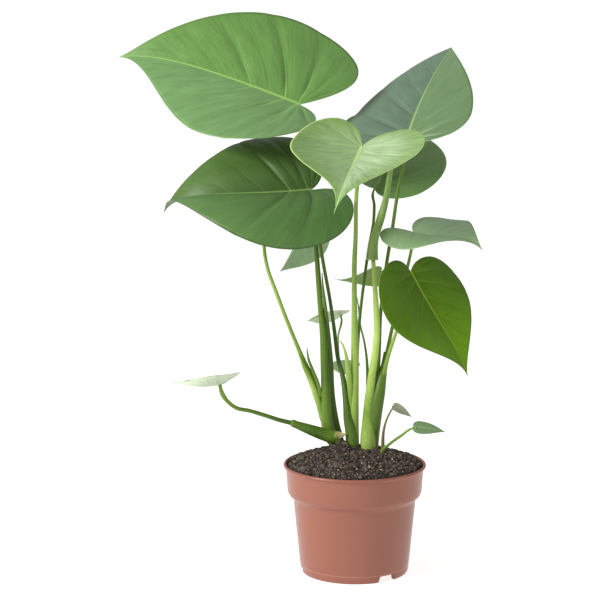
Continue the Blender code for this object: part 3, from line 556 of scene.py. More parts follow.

# %% [markdown]
# ## The twelve blades
#
# Each blade has its own place, turn and outline, in millimetres and degrees.  The big one at
# the top is seen from above its right half, the young pale one in front, paler on one half from
# a painted sheen, hangs tip down, and the low one on the left is seen from below.

# %% Blades
BLADES = {
    "leaf_top_left": Blade((-66, 100, 549), 250, 154, 18, -24, fold=(15, 11), cup=11, arch=-3,
                           droop=28, sweep=-12, twist=-24, width=(0.482, 0.48),
                           lobe=(0.17, 0.21), notch=(0.39, 0.03), shoulder=(0.84, 0.8),
                           point=(0.04, 0.03), swell=1.4,
                           veins=((0.2, 0.4), (0.34, 0.2), (0.43, 1.3), (0.545, 1.3), (0.61, 0.1),
                                  (0.675, 0.8), (0.76, 0.2), (0.84, 0.2))),
    "leaf_middle_left": Blade((-52, 30, 454), 197, 200, -3, -43, fold=(27, 51), cup=71, arch=24,
                              droop=62, sweep=37, width=(0.51, 0.59), lobe=0.16,
                              notch=(0.17, 0.03), shoulder=0.76, point=0.03, swell=1.6,
                              veins=((0.2, 0.3), (0.33, 0.2), (0.455, 1.1), (0.53, 0.1), (0.59, 1.3),
                                     (0.7, 0.3), (0.8, 0.2))),
    "leaf_front": Blade((6, -20, 510), 188, -103, -19, -18, fold=(-11, 23), cup=-17, arch=-31,
                        droop=70, sweep=-2, twist=-4, width=(0.41, 0.43), lobe=(0.33, 0.21),
                        notch=0.1, shoulder=0.62, point=0.03),
    "leaf_top_right": Blade((61, 55, 509.5), 178, 74, 35, -10, fold=(17, 19), cup=31, arch=-1,
                            droop=5, sweep=15, twist=-22, width=(0.45, 0.51),
                            lobe=(0.09, 0.13), shoulder=0.9, point=(0.17, 0.25), swell=1.8),
    "leaf_back_right": Blade((26, 125, 444.3), 173, 70, 25, 26, fold=32, cup=3, arch=6, droop=20,
                             sweep=-4, twist=3, lobe=(0.18, 0.14), notch=(0.19, 0.31)),
    "leaf_side_right": Blade((68, 10, 407), 111, -47, -5, 1, fold=(10, 36), cup=45, arch=-25,
                             droop=71, sweep=-4, twist=3, lobe=(0.26, 0.16),
                             notch=(0.03, 0.21), shoulder=0.76, point=0.03),
    "leaf_hanging_right": Blade((64, -20, 364), 141, -29, -59, 13, fold=(17, 21), cup=38,
                                arch=-5, droop=30, sweep=-12, twist=20, width=(0.49, 0.45),
                                lobe=(0.16, 0.1), notch=(0.03, 0.14), shoulder=0.75, point=0.03),
    "leaf_low_left": Blade((-159, -20, 230), 68, 215, -3, 13, fold=(27, 31), cup=18, arch=-30,
                           droop=7, lobe=0.34, notch=(0.03, 0.39), shoulder=0.62, point=0.04),
    "leaf_back_left": Blade((-53, 120, 404.5), 79, 238, -46, -90, fold=31, cup=2, arch=10,
                            droop=10),
    "leaf_behind_middle": Blade((32, 95, 346.5), 70, 216, -17, -4, fold=7, cup=37, arch=-20,
                                droop=-28, sweep=5, twist=6),
    "leaf_small_back": Blade((-15.5, 95, 293), 49.5, 208, 1, 27, fold=10, twist=10),
    "leaf_lowest_back": Blade((0.5, 80, 230), 37.5, 162, 7, -18),
}

# These colours carry painted light. The paler, greyer halves are a painted sheen: the left halves of leaf_top_left
# and leaf_front, and both halves of leaf_top_right and leaf_side_right. leaf_back_left is painted pale for light
# shining through it.
LEAF_COLOURS = {
    "leaf_top_left": dict(right=(95, 136, 65), left=(108, 147, 88), vein=(142, 182, 94), veins=0.8,
                          streaks=0.32),
    "leaf_middle_left": dict(right=(67, 94, 43), left=(79, 112, 59), vein=(128, 156, 88), veins=0.7,
                             specular=0.25, tip=1.35),
    "leaf_front": dict(right=(144, 176, 116), left=(174, 200, 150), vein=(190, 218, 136),
                       edge=(196, 220, 130), outer=(122, 160, 78), streaks=0.55),
    "leaf_top_right": dict(right=(99, 128, 85), left=(97, 120, 98), vein=(146, 172, 110), veins=0.7),
    "leaf_back_right": dict(right=(107, 145, 76), left=(108, 139, 84), vein=(132, 162, 100)),
    "leaf_side_right": dict(right=(127, 156, 110), left=(135, 160, 123), vein=(156, 180, 134), tip=1.3),
    "leaf_hanging_right": dict(right=(74, 108, 10), left=(77, 112, 12), vein=(136, 164, 44),
                               specular=0.16, tip=1.55),
    "leaf_low_left": dict(right=(190, 205, 175), vein=(215, 225, 200)),
    "leaf_back_left": dict(right=(169, 197, 151), left=(165, 195, 150), vein=(176, 200, 156)),
    "leaf_behind_middle": dict(right=(156, 190, 86), vein=(180, 204, 124)),
    "leaf_small_back": dict(right=(161, 177, 151), vein=(180, 195, 160)),
    "leaf_lowest_back": dict(right=(129, 152, 110), vein=(150, 170, 120)),
}
# Painted light and shade. underside_middle_left is dark as painted shade on its hooked tip. underside_low_left and
# underside_back_left are painted pale for light shining through the blade, and the low one also has a darker edge
# and Tip gain.
UNDERSIDES = {
    "leaf_middle_left": leaf_material("underside_middle_left", (74, 102, 50), vein=(96, 124, 66)),
    "leaf_low_left": leaf_material("underside_low_left", (186, 202, 172), vein=(172, 192, 150),
                                   edge=(160, 182, 130), specular=0.25, tip=1.65),
    "leaf_back_left": leaf_material("underside_back_left", (190, 208, 162), vein=(204, 220, 180)),
    "leaf_small_back": leaf_material("underside_small_back", (171, 190, 143), vein=(190, 206, 160)),
}

for node, blade in BLADES.items():
    skin = leaf_material(node.replace("leaf", "skin", 1), **LEAF_COLOURS[node])
    blade_piece(node.replace("leaf", "blade", 1), blade, [skin, UNDERSIDES.get(node, UNDERSIDE)], (node,))

# %% [markdown]
# ## Stalks
#
# The stalks run from the soil up, each as points of x, y, z and radius.  Every stalk is
# swollen just under its blade, where it can bend.  The sheaths at the foot of the clumps
# have thin raised edges, and the tone of each stalk goes from a pale foot to its own green.

# %% Routes
TOP_LEFT_STEM = [(-19, 28, 142, 5.0), (-22, 27, 149, 7.4), (-27.5, 25.5, 157, 8.5),
                 (-31.5, 24, 168, 7.7), (-33.5, 23, 184, 6.4), (-34, 23, 201, 5.7),
                 (-36, 25.5, 250, 4.7), (-37.5, 28, 284, 4.2), (-40, 31, 305, 3.3),
                 (-43, 37, 345, 3.2), (-47, 52, 395, 2.5), (-53, 75, 440, 2.3),
                 (-60, 92, 480, 2.2), (-64, 98, 515, 2.0)]
LEFT_SHEATH = [(-18, 34, 142, 6.4), (-20.5, 34.5, 152, 7.8), (-24, 35, 166, 7.6), (-28, 35, 200, 5.6),
               (-30, 35, 249, 4.5), (-32, 34, 279, 3.5), (-35, 32.5, 312, 2.4),
               (-38, 32, 340, 1.2), (-39, 32, 355, 0.5)]
BACK_LEFT_STEM = [(-30, 32, 160, 5.0), (-34.5, 31, 174, 5.6), (-42.8, 28, 203, 5.1),
                  (-51, 24.5, 227, 4.4), (-59, 22, 245, 3.7), (-65, 23, 260, 2.7),
                  (-81, 28, 299, 2.3), (-93, 39, 329, 2.3), (-104, 55, 357, 2.2),
                  (-108, 78, 387, 2.0), (-102, 98, 409, 1.9), (-84, 118, 420, 1.8),
                  (-67, 127, 417, 1.7)]
SPIKE = [(-40, 22, 206, 2.4), (-44, 19, 224, 2.2), (-50, 17, 240, 1.9), (-55, 16, 254, 1.4),
         (-57, 16, 268, 0.4)]
BACK_LEFT_WING = [(-37, 27, 178, 3.2), (-44.3, 24, 203, 3.8), (-52.5, 20, 227, 3.3),
                  (-60, 18.5, 245, 2.6), (-65.5, 20.5, 258, 1.0)]
FRONT_STEM = [(-1, 17, 142, 6.6), (-1, 17, 155, 6.4), (-0.5, 16, 174, 5.6), (0, 14, 198, 4.9),
              (0, 12, 265, 4.5), (-1, 11, 326, 3.2), (-1, 8, 374, 2.9), (0, 5, 398, 2.6),
              (1, -5, 458, 2.3), (4, -14, 485, 2.2)]
BACK_RIGHT_STEM = [(2, 15, 231, 2.7), (3, 18, 270, 2.4), (6, 23, 304, 1.9), (12, 36, 351, 1.8),
                   (18, 60, 385, 1.8), (23.5, 84, 408, 1.8), (25, 104, 426, 1.8)]
MIDDLE_LEFT_STEM = [(-3.5, 12, 142, 7.0), (-3.5, 12, 155, 7.2), (-5, 12.5, 169, 6.6),
                    (-7.4, 14, 181, 5.9), (-8.4, 16, 192, 5.2), (-10.4, 21, 210, 4.2),
                    (-14, 28, 230, 3.0), (-19, 35, 248, 2.6), (-24, 39, 284, 2.3),
                    (-30, 40, 325, 2.1), (-37, 40, 363, 2.1), (-43, 40, 399, 2.1),
                    (-50, 40, 432, 2.0)]
CURLED_SHEATH = [(-2.5, 13, 188, 1.2), (-4.5, 11.5, 203, 2.2), (-6, 9, 224, 3.4), (-8, 7.5, 242, 3.2),
                 (-10, 6, 257, 2.2), (-13, 4, 269, 1.3), (-17, 3, 277, 0.8), (-20, 2, 279, 0.4)]
SMALL_BACK_STEM = [(-8, 28, 160, 2.6), (-10, 44, 185, 1.8), (-13, 53, 209, 1.4),
                   (-18, 66, 246, 1.2), (-18.5, 82, 270, 1.1)]
LOWEST_BACK_STEM = [(-3, 26, 162, 3.0), (0, 44, 184, 1.8), (1.5, 64, 203, 1.2)]
FURLED_STEM = [(16.5, 14.5, 142, 8.9), (16, 14, 156, 9.2), (16.4, 14, 168, 8.6), (16.6, 14, 184, 7.2),
               (17.6, 14, 204, 6.1), (20, 14, 231, 4.8), (25, 13, 271, 3.9), (26, 12, 290, 3.7),
               (25, 11, 314, 3.4), (23, 10, 345, 2.8), (21, 9, 373.8, 2.5)]
RIGHT_SHEATH = [(21.5, 19, 142, 7.0), (22.5, 17, 160, 7.3), (24, 13.5, 180, 7.8), (26.5, 12.5, 199, 7.8),
                (29.5, 14, 214, 7.0), (32, 17, 229, 5.8), (35, 21, 243, 4.2), (37, 23, 261, 2.5)]
SIDE_RIGHT_STEM = [(31, 20, 221, 3.6), (37, 22, 253, 2.5), (45, 25, 292, 2.1), (54, 27, 330, 2.0),
                   (61, 26, 358, 2.0), (66, 20, 383, 1.8)]
HANGING_STEM = [(31, 16, 222, 3.2), (41, 17, 262, 2.4), (49, 17, 286, 2.1), (56, 16, 310, 2.0),
                (61, 14, 338, 1.9), (63, 2, 357, 1.8)]
TOP_RIGHT_STEM = [(26, 21, 215, 3.4), (29, 27, 263, 2.5), (31, 33, 307, 2.1), (38, 40, 365, 2.1),
                  (45, 44, 408, 2.1), (50, 47, 443, 2.1), (54, 51, 464, 2.1), (59, 58, 484, 1.9)]
FREE_SHEATH = [(16, 19, 218, 2.4), (13.5, 22, 260, 1.4), (11, 25, 275, 1.2), (7, 27, 291, 1.1),
               (4, 27, 317, 0.8), (2, 26, 329, 0.4)]
BEHIND_MIDDLE_STEM = [(25, 25, 200, 2.6), (28, 42, 230, 1.6), (30, 60, 256, 1.3),
                      (33, 82, 296, 1.2), (33, 92, 322, 1.1)]
FURLED_LEAF = [(20, 9, 375, 6.9), (20.5, 9, 386, 6.5), (22, 9, 398, 5.6), (25, 9, 408, 4.9),
               (30, 11, 424, 4.9), (36, 13, 447, 3.7), (41, 16, 478, 2.8), (45, 18, 497, 2.0),
               (49, 20, 516, 0.7)]
LOW_STEM = [(-17, 5, 132, 3.4), (-17, 5, 147, 3.4), (-20.5, 5, 157, 4.2), (-31, 4, 164, 4.4),
            (-47, 3, 169, 3.8), (-63, 1, 174.5, 3.2), (-76, -1, 180, 2.8), (-89, -4, 184, 2.6),
            (-105, -7, 190, 2.5), (-125, -11, 197, 2.4), (-140, -14, 201, 2.4), (-149, -16, 208, 2.3)]
LOW_SHEATH = [(-10.8, 5, 165, 0.6), (-15, 5, 164, 3.0), (-20, 5, 163.2, 5.2), (-27, 4.5, 162.5, 7.4),
              (-36, 4, 165, 7.3), (-47, 3, 169, 6.6), (-60, 1.5, 174, 5.4), (-70, 0, 178, 4.4),
              (-75, -1, 180.2, 3.9), (-76.5, -1.2, 180.6, 2.6)]
LOW_SHEATH_TIP = [(-9.5, 5, 165.5, 0.4), (-14, 5, 164.3, 2.7), (-20.5, 5, 163.2, 5.5), (-25, 4.6, 162.6, 6.7)]
DRY_STEM = [(33.5, 8, 130, 2.4), (33.5, 8, 140, 2.4), (33.5, 8, 148, 2.3), (35, 6, 172, 1.5),
            (40, 4, 188, 1.2), (45, 2, 197, 1.1), (49, 1.5, 201, 1.0)]
FRESH_STEM = [(31.5, -3, 130, 2.0), (31.5, -3, 137, 2.0), (32, -3, 145, 2.0), (41, -8, 156, 1.8),
              (55, -14, 168, 1.7), (66, -19, 177, 1.4), (72, -22, 179, 1.2)]

STALK_SIDES = 24
STALK_STEP = 2.5             # mm between the rings of a stalk


def ends_at(route, blade, radius):
    """Continue a route to the underside of a blade, which it meets squarely."""
    up, seat = BLADES[blade].axes()[2], BLADES[blade].seat
    return route + [(*(seat - up * reach), radius) for reach in (5.0, 0.1)]


def stalk(route, tones, depth=1.0, joint=0.0, edges=(), sides=STALK_SIDES, waves=0.0):
    """Tube along a route: points, faces and values.

    tones are pairs of a share of the length and a tone, from 0 dark to 1 pale.  joint swells
    the top end.  edges are pairs of an angle and a height of the thin ridges of a sheath.
    """
    places = np.array(route, float)[:, :3]
    length = np.linalg.norm(np.diff(places, axis=0), axis=1).sum()
    rows = spline(route, max(6, int(length / STALK_STEP)))
    centre, radius = rows[:, :3], np.maximum(rows[:, 3], 0.22)
    share = np.linspace(0, 1, len(rows))
    radius = radius * (1 + joint * np.exp(-((1 - share) * length - 12)**2 / 60))
    ahead = np.gradient(centre, axis=0)
    ahead /= np.linalg.norm(ahead, axis=1)[:, None]
    side = np.cross(ahead, (0.0, -1.0, 0.0))
    side /= np.linalg.norm(side, axis=1)[:, None]
    back = np.cross(ahead, side)
    turn = np.arange(sides) * 2 * math.pi / sides
    wide = np.ones((len(rows), sides)) + 0.02 * np.cos(3 * turn + 1 + 2 * share[:, None])
    for angle, height in edges:
        apart = np.abs((turn - math.radians(angle) + math.pi) % (2 * math.pi) - math.pi)
        wide += height * np.exp(-(apart / 0.16)**2) * np.sin(np.pi * share[:, None])**0.4
    across = np.cos(turn)[None, :, None] * side[:, None] + depth * np.sin(turn)[None, :, None] * back[:, None]
    ring = centre[:, None] + (radius[:, None] * wide)[..., None] * across
    ring[0] -= ahead[0] * (waves * (1 + np.cos(3 * turn)))[:, None]
    last = len(rows) * sides
    points = np.concatenate([ring.reshape(-1, 3), centre[:1], centre[-1:] + ahead[-1:] * 0.05])
    faces = grid_faces(len(rows), sides, wrap=True).tolist()
    order = np.arange(sides)
    after = np.roll(order, -1)
    faces += np.stack([np.full(sides, last), after, order], -1).tolist()
    top = (len(rows) - 1) * sides
    faces += np.stack([np.full(sides, last + 1), top + order, top + after], -1).tolist()
    at, tone = np.array(tones, float).T
    tone = np.repeat(np.interp(share, at, tone), sides)
    distance = np.repeat(share * length, sides)
    flow = np.stack([np.tile(np.cos(turn), len(rows)), np.tile(np.sin(turn), len(rows)), distance * 0.1], -1)
    values = {"tone": np.append(tone, [tone[0], tone[-1]]), "along": np.append(distance, [0, length]),
              "flow": np.concatenate([flow, [[0, 0, 0], [0, 0, length * 0.1]]])}
    return points, faces, values


def with_owner(part, owner):
    """The same part, all of it in the material with that number."""
    return (*part[:3], [owner] * len(part[1]))


def join(parts, owner_of_stalks=0):
    """One set of points, faces and values from several; a part may also have owners."""
    points, faces, values, owner, start = [], [], {}, [], 0
    for part in parts:
        points.append(part[0])
        faces += [[n + start for n in f] for f in part[1]]
        owner += part[3] if len(part) > 3 else [owner_of_stalks] * len(part[1])
        start += len(part[0])
    for key in sorted({key for part in parts for key in part[2]}):
        zero = next(np.zeros_like(np.asarray(p[2][key])[:1]) for p in parts if key in p[2])
        values[key] = np.concatenate([np.asarray(p[2][key]) if key in p[2]
                                      else np.repeat(zero, len(p[0]), axis=0) for p in parts])
    return np.concatenate(points), faces, owner, values


# %% [markdown]
# ## Stalk material
#
# The tone picks a green between the dark and the pale one.  Fine streaks run lengthwise, and
# the skin is smooth with a soft gloss.

# %% Stalk material
def stalk_material(name, dark, middle, pale, roughness=0.42):
    material, tree, shader = new_material(name, roughness, Specular_IOR_Level=0.32)
    ramp = tree.nodes.new("ShaderNodeValToRGB")
    ramp.color_ramp.elements[0].color = (*linear(*dark), 1.0)
    ramp.color_ramp.elements[1].color = (*linear(*pale), 1.0)
    ramp.color_ramp.elements.new(0.5).color = (*linear(*middle), 1.0)
    flow = attribute(tree, "flow", "Vector")
    lines = use_group(tree, streak, Vector=flow, Density=5.0, Stretch=0.35).outputs[0]
    lines = maths(tree, "SUBTRACT", lines, 0.5)
    tone = maths(tree, "MULTIPLY_ADD", lines, 0.35, attribute(tree, "tone"))
    tree.links.new(tone, ramp.inputs["Fac"])
    skin = use_group(tree, mottle, Colour=ramp.outputs["Color"], Patch_size=0.012, Patch_strength=0.16,
                     Speck_size=0.0012, Speck_strength=0.12)
    tree.links.new(skin.outputs["Colour"], shader.inputs["Base Color"])
    bump(tree, shader, lines, 0.3, 0.0005)
    return material


STALK = stalk_material("stalk_skin", (56, 84, 14), (110, 142, 44), (184, 210, 108))
DRY = stalk_material("dry_skin", (70, 62, 38), (112, 108, 62), (150, 152, 96), 0.7)
TAN = stalk_material("tan_skin", (112, 130, 56), (166, 160, 104), (214, 204, 160), 0.6)

# %% Stalk clumps
PALE_FOOT = ((0, 0.75), (0.08, 0.45))
DARK = (*PALE_FOOT, (0.2, 0.2), (1, 0.3))
LIGHT = ((0, 0.7), (0.1, 0.62), (0.3, 0.68), (0.6, 0.62), (1, 0.6))
FURLED = ((0, 0.85), (0.08, 0.72), (0.2, 0.52), (0.32, 0.72), (0.6, 0.95), (1, 0.75))
MIDDLE = (*PALE_FOOT, (0.4, 0.5), (1, 0.5))
THIN = dict(joint=0.35)

def joined_piece(name, parts, materials, replaces, owner_of_stalks=0):
    points, faces, owner, values = join(parts, owner_of_stalks)
    return new_piece(name, points, faces, materials, owner, values, replaces)


joined_piece("left_stalks", [
    stalk(ends_at(TOP_LEFT_STEM, "leaf_top_left", 2.0), DARK, **THIN, edges=((200, 0.05),)),
    stalk(LEFT_SHEATH, ((0, 0.45), (0.2, 0.2), (1, 0.25)), edges=((30, 0.1), (150, 0.08))),
    stalk(ends_at(BACK_LEFT_STEM, "leaf_back_left", 1.6), ((0, 0.55), (0.3, 0.5), (0.5, 0.6), (1, 0.6)), **THIN),
    stalk(BACK_LEFT_WING, ((0, 0.6), (0.5, 0.78), (0.8, 0.5), (1, 0.45))),
    stalk(SPIKE, ((0, 0.4), (1, 0.1)), depth=0.5),
], [STALK], ("stems_left",))
joined_piece("middle_stalks", [
    stalk(ends_at(FRONT_STEM, "leaf_front", 2.1), LIGHT, **THIN),
    stalk(ends_at(BACK_RIGHT_STEM, "leaf_back_right", 1.2), DARK, **THIN),
    stalk(ends_at(MIDDLE_LEFT_STEM, "leaf_middle_left", 1.9), ((0, 0.45), (0.06, 0.2), (0.15, 0.05), (1, 0.18)),
          edges=((20, 0.06),), **THIN),
    stalk(CURLED_SHEATH, ((0, 0.5), (1, 0.8)), depth=0.6),
    stalk(ends_at(SMALL_BACK_STEM, "leaf_small_back", 1.0), MIDDLE, **THIN),
    stalk(ends_at(LOWEST_BACK_STEM, "leaf_lowest_back", 1.0), MIDDLE, **THIN),
], [STALK], ("stems_middle",))
joined_piece("right_stalks", [
    stalk(FURLED_STEM, FURLED),
    stalk(RIGHT_SHEATH, ((0, 0.5), (0.2, 0.24), (0.6, 0.15), (1, 0.35)), edges=((160, 0.1), (40, 0.08))),
    stalk(ends_at(SIDE_RIGHT_STEM, "leaf_side_right", 1.7), MIDDLE, **THIN),
    stalk(ends_at(HANGING_STEM, "leaf_hanging_right", 1.7), ((0, 0.4), (0.3, 0.7), (1, 0.65)), **THIN),
    stalk(ends_at(TOP_RIGHT_STEM, "leaf_top_right", 1.7), DARK, **THIN),
    stalk(FREE_SHEATH, ((0, 0.5), (1, 0.3)), depth=0.5),
    stalk(ends_at(BEHIND_MIDDLE_STEM, "leaf_behind_middle", 1.0), MIDDLE, **THIN),
], [STALK], ("stems_right",))
joined_piece("low_stalk", [
    stalk(ends_at(LOW_STEM, "leaf_low_left", 2.0), ((0, 0.5), (0.4, 0.05), (0.7, 0.2), (1, 0.6)), **THIN),
    stalk(LOW_SHEATH, ((0, 0.6), (0.25, 0.25), (0.5, 0.05), (1, 0.25)), edges=((190, 0.08),)),
    with_owner(stalk(LOW_SHEATH_TIP, ((0, 1.0), (0.5, 0.7), (1, 0.1))), 1),
], [STALK, TAN], ("stem_low",))

# %% [markdown]
# ## The new leaf, still rolled
#
# It is a sheet rolled into a spiral that narrows to a point.  The spiral's radius grows a
# little with each turn, so the outer edge shows as a line down the front, and the lower end
# opens in a small ragged lip round its stalk.

# %% Rolled leaf
ROLL_TURNS = 1.45
ROLL_START = 200.0           # degrees, where the outer edge starts


def rolled_leaf(route, columns=46):
    rows = spline(route, 60)
    centre, radius = rows[:, :3], np.maximum(rows[:, 3], 0.5)
    share = np.linspace(0, 1, len(rows))[:, None]
    ahead = np.gradient(centre, axis=0)
    ahead /= np.linalg.norm(ahead, axis=1)[:, None]
    side = np.cross(ahead, (0.0, -1.0, 0.0))
    side /= np.linalg.norm(side, axis=1)[:, None]
    back = np.cross(ahead, side)
    part = np.linspace(0, 1, columns)[None, :]
    turn = math.radians(ROLL_START) - part * ROLL_TURNS * 2 * math.pi
    lip = 1 + 0.12 * np.exp(-share / 0.03)
    reach = radius[:, None] * lip * (0.98 - 0.24 * part)
    grid = centre[:, None] + reach[..., None] * (np.cos(turn)[..., None] * side[:, None]
                                                + np.sin(turn)[..., None] * back[:, None])
    torn = 1.1 * np.sin(turn * 2.3 + 1) + 0.6 * np.sin(turn * 7)
    grid[0] -= ahead[0] * (torn.ravel() + 1.2)[:, None] * 0.5
    points, faces, owner, first = closed_sheet(grid[:, ::-1], 0.5)
    # Painted light and shadow: the tone is lighter on the left of the roll and darker at its front and right. The
    # outer edge is paler, and a dark line beside it is a painted shadow of the edge.
    tone = 0.55 + 0.25 * np.cos(turn - math.radians(120)) + 0 * share
    tone = tone + 0.35 * smooth_step(0.05, 0, part) - 0.2 * np.exp(-((part - 0.07) / 0.03)**2)
    flow = np.stack([np.cos(turn) + 0 * share, np.sin(turn) + 0 * share, share * 14 + 0 * turn], -1)
    values = {"tone": np.tile(tone[:, ::-1].ravel()[first], 2),
              "flow": np.tile(flow[:, ::-1].reshape(-1, 3)[first], (2, 1))}
    return points, faces, values, owner


ROLLED = stalk_material("rolled_skin", (94, 124, 56), (140, 168, 92), (190, 212, 134), 0.45)
joined_piece("rolled_leaf", [rolled_leaf(FURLED_LEAF)], [ROLLED, ROLLED], ("furled_leaf",))

# %% [markdown]
# ## Two seedlings
#
# On the right of the clumps stand two seedlings with narrow blades: one green, the other
# dry and folded.

# %% Seedlings
SEEDLING_BLADES = {
    "dry": Blade((46, 2, 200), 26, -18, -27, 60, fold=35, width=0.22, lobe=0.08, rows=6, columns=10),
    "fresh": Blade((68, -20, 180), 39.5, -8, -5, 46, fold=12, width=0.22, lobe=0.02, rows=6, columns=10),
}
DRY_BLADE = leaf_material("dry_blade", (128, 136, 112), vein=(156, 160, 132), streaks=0.7, specular=0.2)
FRESH_BLADE = leaf_material("fresh_blade", (105, 132, 90), vein=(150, 172, 122))
for kind, route, skin, node, slot in (("dry", DRY_STEM, DRY, "seedling_dry", "withered_leaf"),
                                      ("fresh", FRESH_STEM, STALK, "seedling_fresh", "leaf")):
    upper = DRY_BLADE if kind == "dry" else FRESH_BLADE
    points, faces, owner, values = blade_mesh(SEEDLING_BLADES[kind], 0.6)
    joined_piece(kind + "_seedling", [
        (points, faces, values, owner),
        stalk(route, ((0, 0.7), (0.3, 0.45), (1, 0.6)), sides=12),
    ], [upper, UNDERSIDE, skin], (node,), owner_of_stalks=2)

# %% [markdown]
# ## The nursery pot
#
# Its section is a line that runs down the outside, under the foot and up the inside.  Each
# corner of the line is rounded before it is turned about the axis.  Three notches in the
# foot let air under the pot, and six holes in the raised ring of its floor drain it.

# %% Pot shape
WALL = 1.8
POT_SIDES = 240
NOTCHES = (-54.0, 66.0, 186.0)
NOTCH_HEIGHT, NOTCH_FOOT, NOTCH_TOP = 8.0, 24.0, 20.0
FOOT_RADIUS = 64.4
OUTSIDE = [(83.2, 131.0), (84.4, 130.4), (85.0, 129.0), (84.5, 128.0), (82.5, 127.0), (81.9, 126.0),
           (79.9, 98.0), (78.7, 94.8), (76.3, 92.4), (73.8, 90.1), (72.9, 87.5), (64.4, 3.0),
           (63.5, 0.7), (62.6, 0.0), (61.6, 0.0)]
UNDERNEATH = [(60.0, 0.0), (59.5, 0.6), (60.2, 9.0), (29.0, 9.0), (24.0, 0.0), (0.0, 0.0)]
INSIDE = [(0.0, WALL), (23.0, WALL), (28.0, 9.0 + WALL), (63.6, 9.0 + WALL), (71.1, 88.5), (75.1, 94.5),
          (78.1, 98.8), (80.1, 126.0), (81.3, 130.0), (82.4, 131.0)]


def rounded(line, radius, steps=4):
    """Replace each inner corner of a line by a short curve that starts radius before it."""
    line = np.array(line, float)
    points = [line[0]]
    for before, corner, after in zip(line[:-2], line[1:-1], line[2:]):
        reach_in, reach_out = np.linalg.norm(corner - before), np.linalg.norm(after - corner)
        start = corner + (before - corner) * min(radius, 0.45 * reach_in) / reach_in
        end = corner + (after - corner) * min(radius, 0.45 * reach_out) / reach_out
        for t in np.linspace(0, 1, steps + 1):
            points.append((1 - t)**2 * start + 2 * t * (1 - t) * corner + t * t * end)
    return np.array(points + [line[-1]])


def split_long(line, longest):
    """Add points to a line so that no step is longer than longest."""
    points = [line[0]]
    for a, b in zip(line[:-1], line[1:]):
        count = max(1, int(np.ceil(np.linalg.norm(b - a) / longest)))
        points += [a + (b - a) * k / count for k in range(1, count + 1)]
    return np.array(points)


def pot_mesh():
    """Section turned about the axis; a notch lifts whatever stands below its edge."""
    line = split_long(rounded(OUTSIDE + UNDERNEATH + INSIDE, 1.6), 6.0)
    turn = np.arange(POT_SIDES) * 2 * math.pi / POT_SIDES
    radius, height = np.repeat(line[:, :1], POT_SIDES, 1), np.repeat(line[:, 1:], POT_SIDES, 1)
    lift = np.zeros(POT_SIDES)
    for azimuth in NOTCHES:
        apart = (turn - math.radians(azimuth) + math.pi) % (2 * math.pi) - math.pi
        slope = (NOTCH_FOOT / 2 - np.abs(apart) * FOOT_RADIUS) / ((NOTCH_FOOT - NOTCH_TOP) / 2)
        lift = np.maximum(lift, NOTCH_HEIGHT * np.clip(slope, 0, 1))
    foot = radius > 55
    height = np.where(foot, np.maximum(height, lift[None, :]), height)
    points = np.stack([radius * np.cos(turn), radius * np.sin(turn), height], -1).reshape(-1, 3)
    points, index = np.unique(np.round(points, 4), axis=0, return_inverse=True)
    rows = index.reshape(len(line), POT_SIDES)
    rows = np.concatenate([rows, rows[:1]])
    corners = rows.ravel()[grid_faces(len(rows), POT_SIDES, wrap=True)]
    faces = [f for f in (list(dict.fromkeys(c)) for c in corners.tolist()) if len(f) > 2]
    return points, faces


points, faces = pot_mesh()
print("pot:", len(points), "points")

# %% [markdown]
# ## Pot material
#
# Terracotta-coloured moulded plastic: even, with a satin sheen, faint flow marks and a few
# fine scuffs.  Near the foot a faint groove goes round, with a painted highlight along it.

# %% Pot material
plastic, tree, shader = new_material("terracotta_plastic", 0.3, Specular_IOR_Level=0.36)
skin = use_group(tree, mottle, Colour=linear(146, 90, 73), Patch_size=0.03, Patch_strength=0.06,
                 Speck_size=0.0015, Speck_strength=0.05)
where = add_node(tree, "ShaderNodeSeparateXYZ", {0: tree.nodes.new("ShaderNodeTexCoord").outputs["Object"]})
# Painted highlight: a thin ring at 9.2 mm is mixed towards a paler terracotta and sunk a little in the bump.
line = maths(tree, "ABSOLUTE", maths(tree, "SUBTRACT", where.outputs[2], 0.0092))
line = maths(tree, "SUBTRACT", 1.0, rise(tree, line, 0.0002, 0.0007))
colour = mix_colour(tree, maths(tree, "MULTIPLY", line, 0.35), skin.outputs["Colour"], linear(206, 150, 132))
tree.links.new(colour, shader.inputs["Base Color"])
bump(tree, shader, maths(tree, "MULTIPLY_ADD", line, -1.0, skin.outputs["Height"]), 0.25, 0.0004)

pot = new_piece("nursery_pot", points, faces, [plastic], replaces=("pot",))
for k in range(6):
    angle = 2 * math.pi * k / 6 + math.pi / 48
    bpy.ops.mesh.primitive_cylinder_add(vertices=32, radius=0.004, depth=0.006)
    cutter = bpy.context.object
    cutter.location = (0.042 * math.cos(angle), 0.042 * math.sin(angle), 0.0099)
    bpy.context.view_layer.update()
    drill = pot.modifiers.new("drain", "BOOLEAN")
    drill.object, drill.operation, drill.solver = cutter, "DIFFERENCE", "EXACT"
    drilled = bpy.data.meshes.new_from_object(pot.evaluated_get(bpy.context.evaluated_depsgraph_get()))
    pot.modifiers.clear()
    pot.data = drilled
    bpy.data.objects.remove(cutter)
pot.data.shade_smooth()
pot.data.set_sharp_from_angle(angle=math.radians(50))
print("pot:", len(pot.data.polygons), "faces after drilling")

# %% [markdown]
# ## Soil
#
# The peat is domed and lumpy, with a small heap at the foot of the stalks.  Crumbs lie all
# over it: each is an icosahedron with its corners pushed in or out at random.  Among them
# are pale grains of perlite and sand, and short fibres.

# %% Soil surface
SOIL_RADIUS = 79.6
random = np.random.default_rng(SEED)


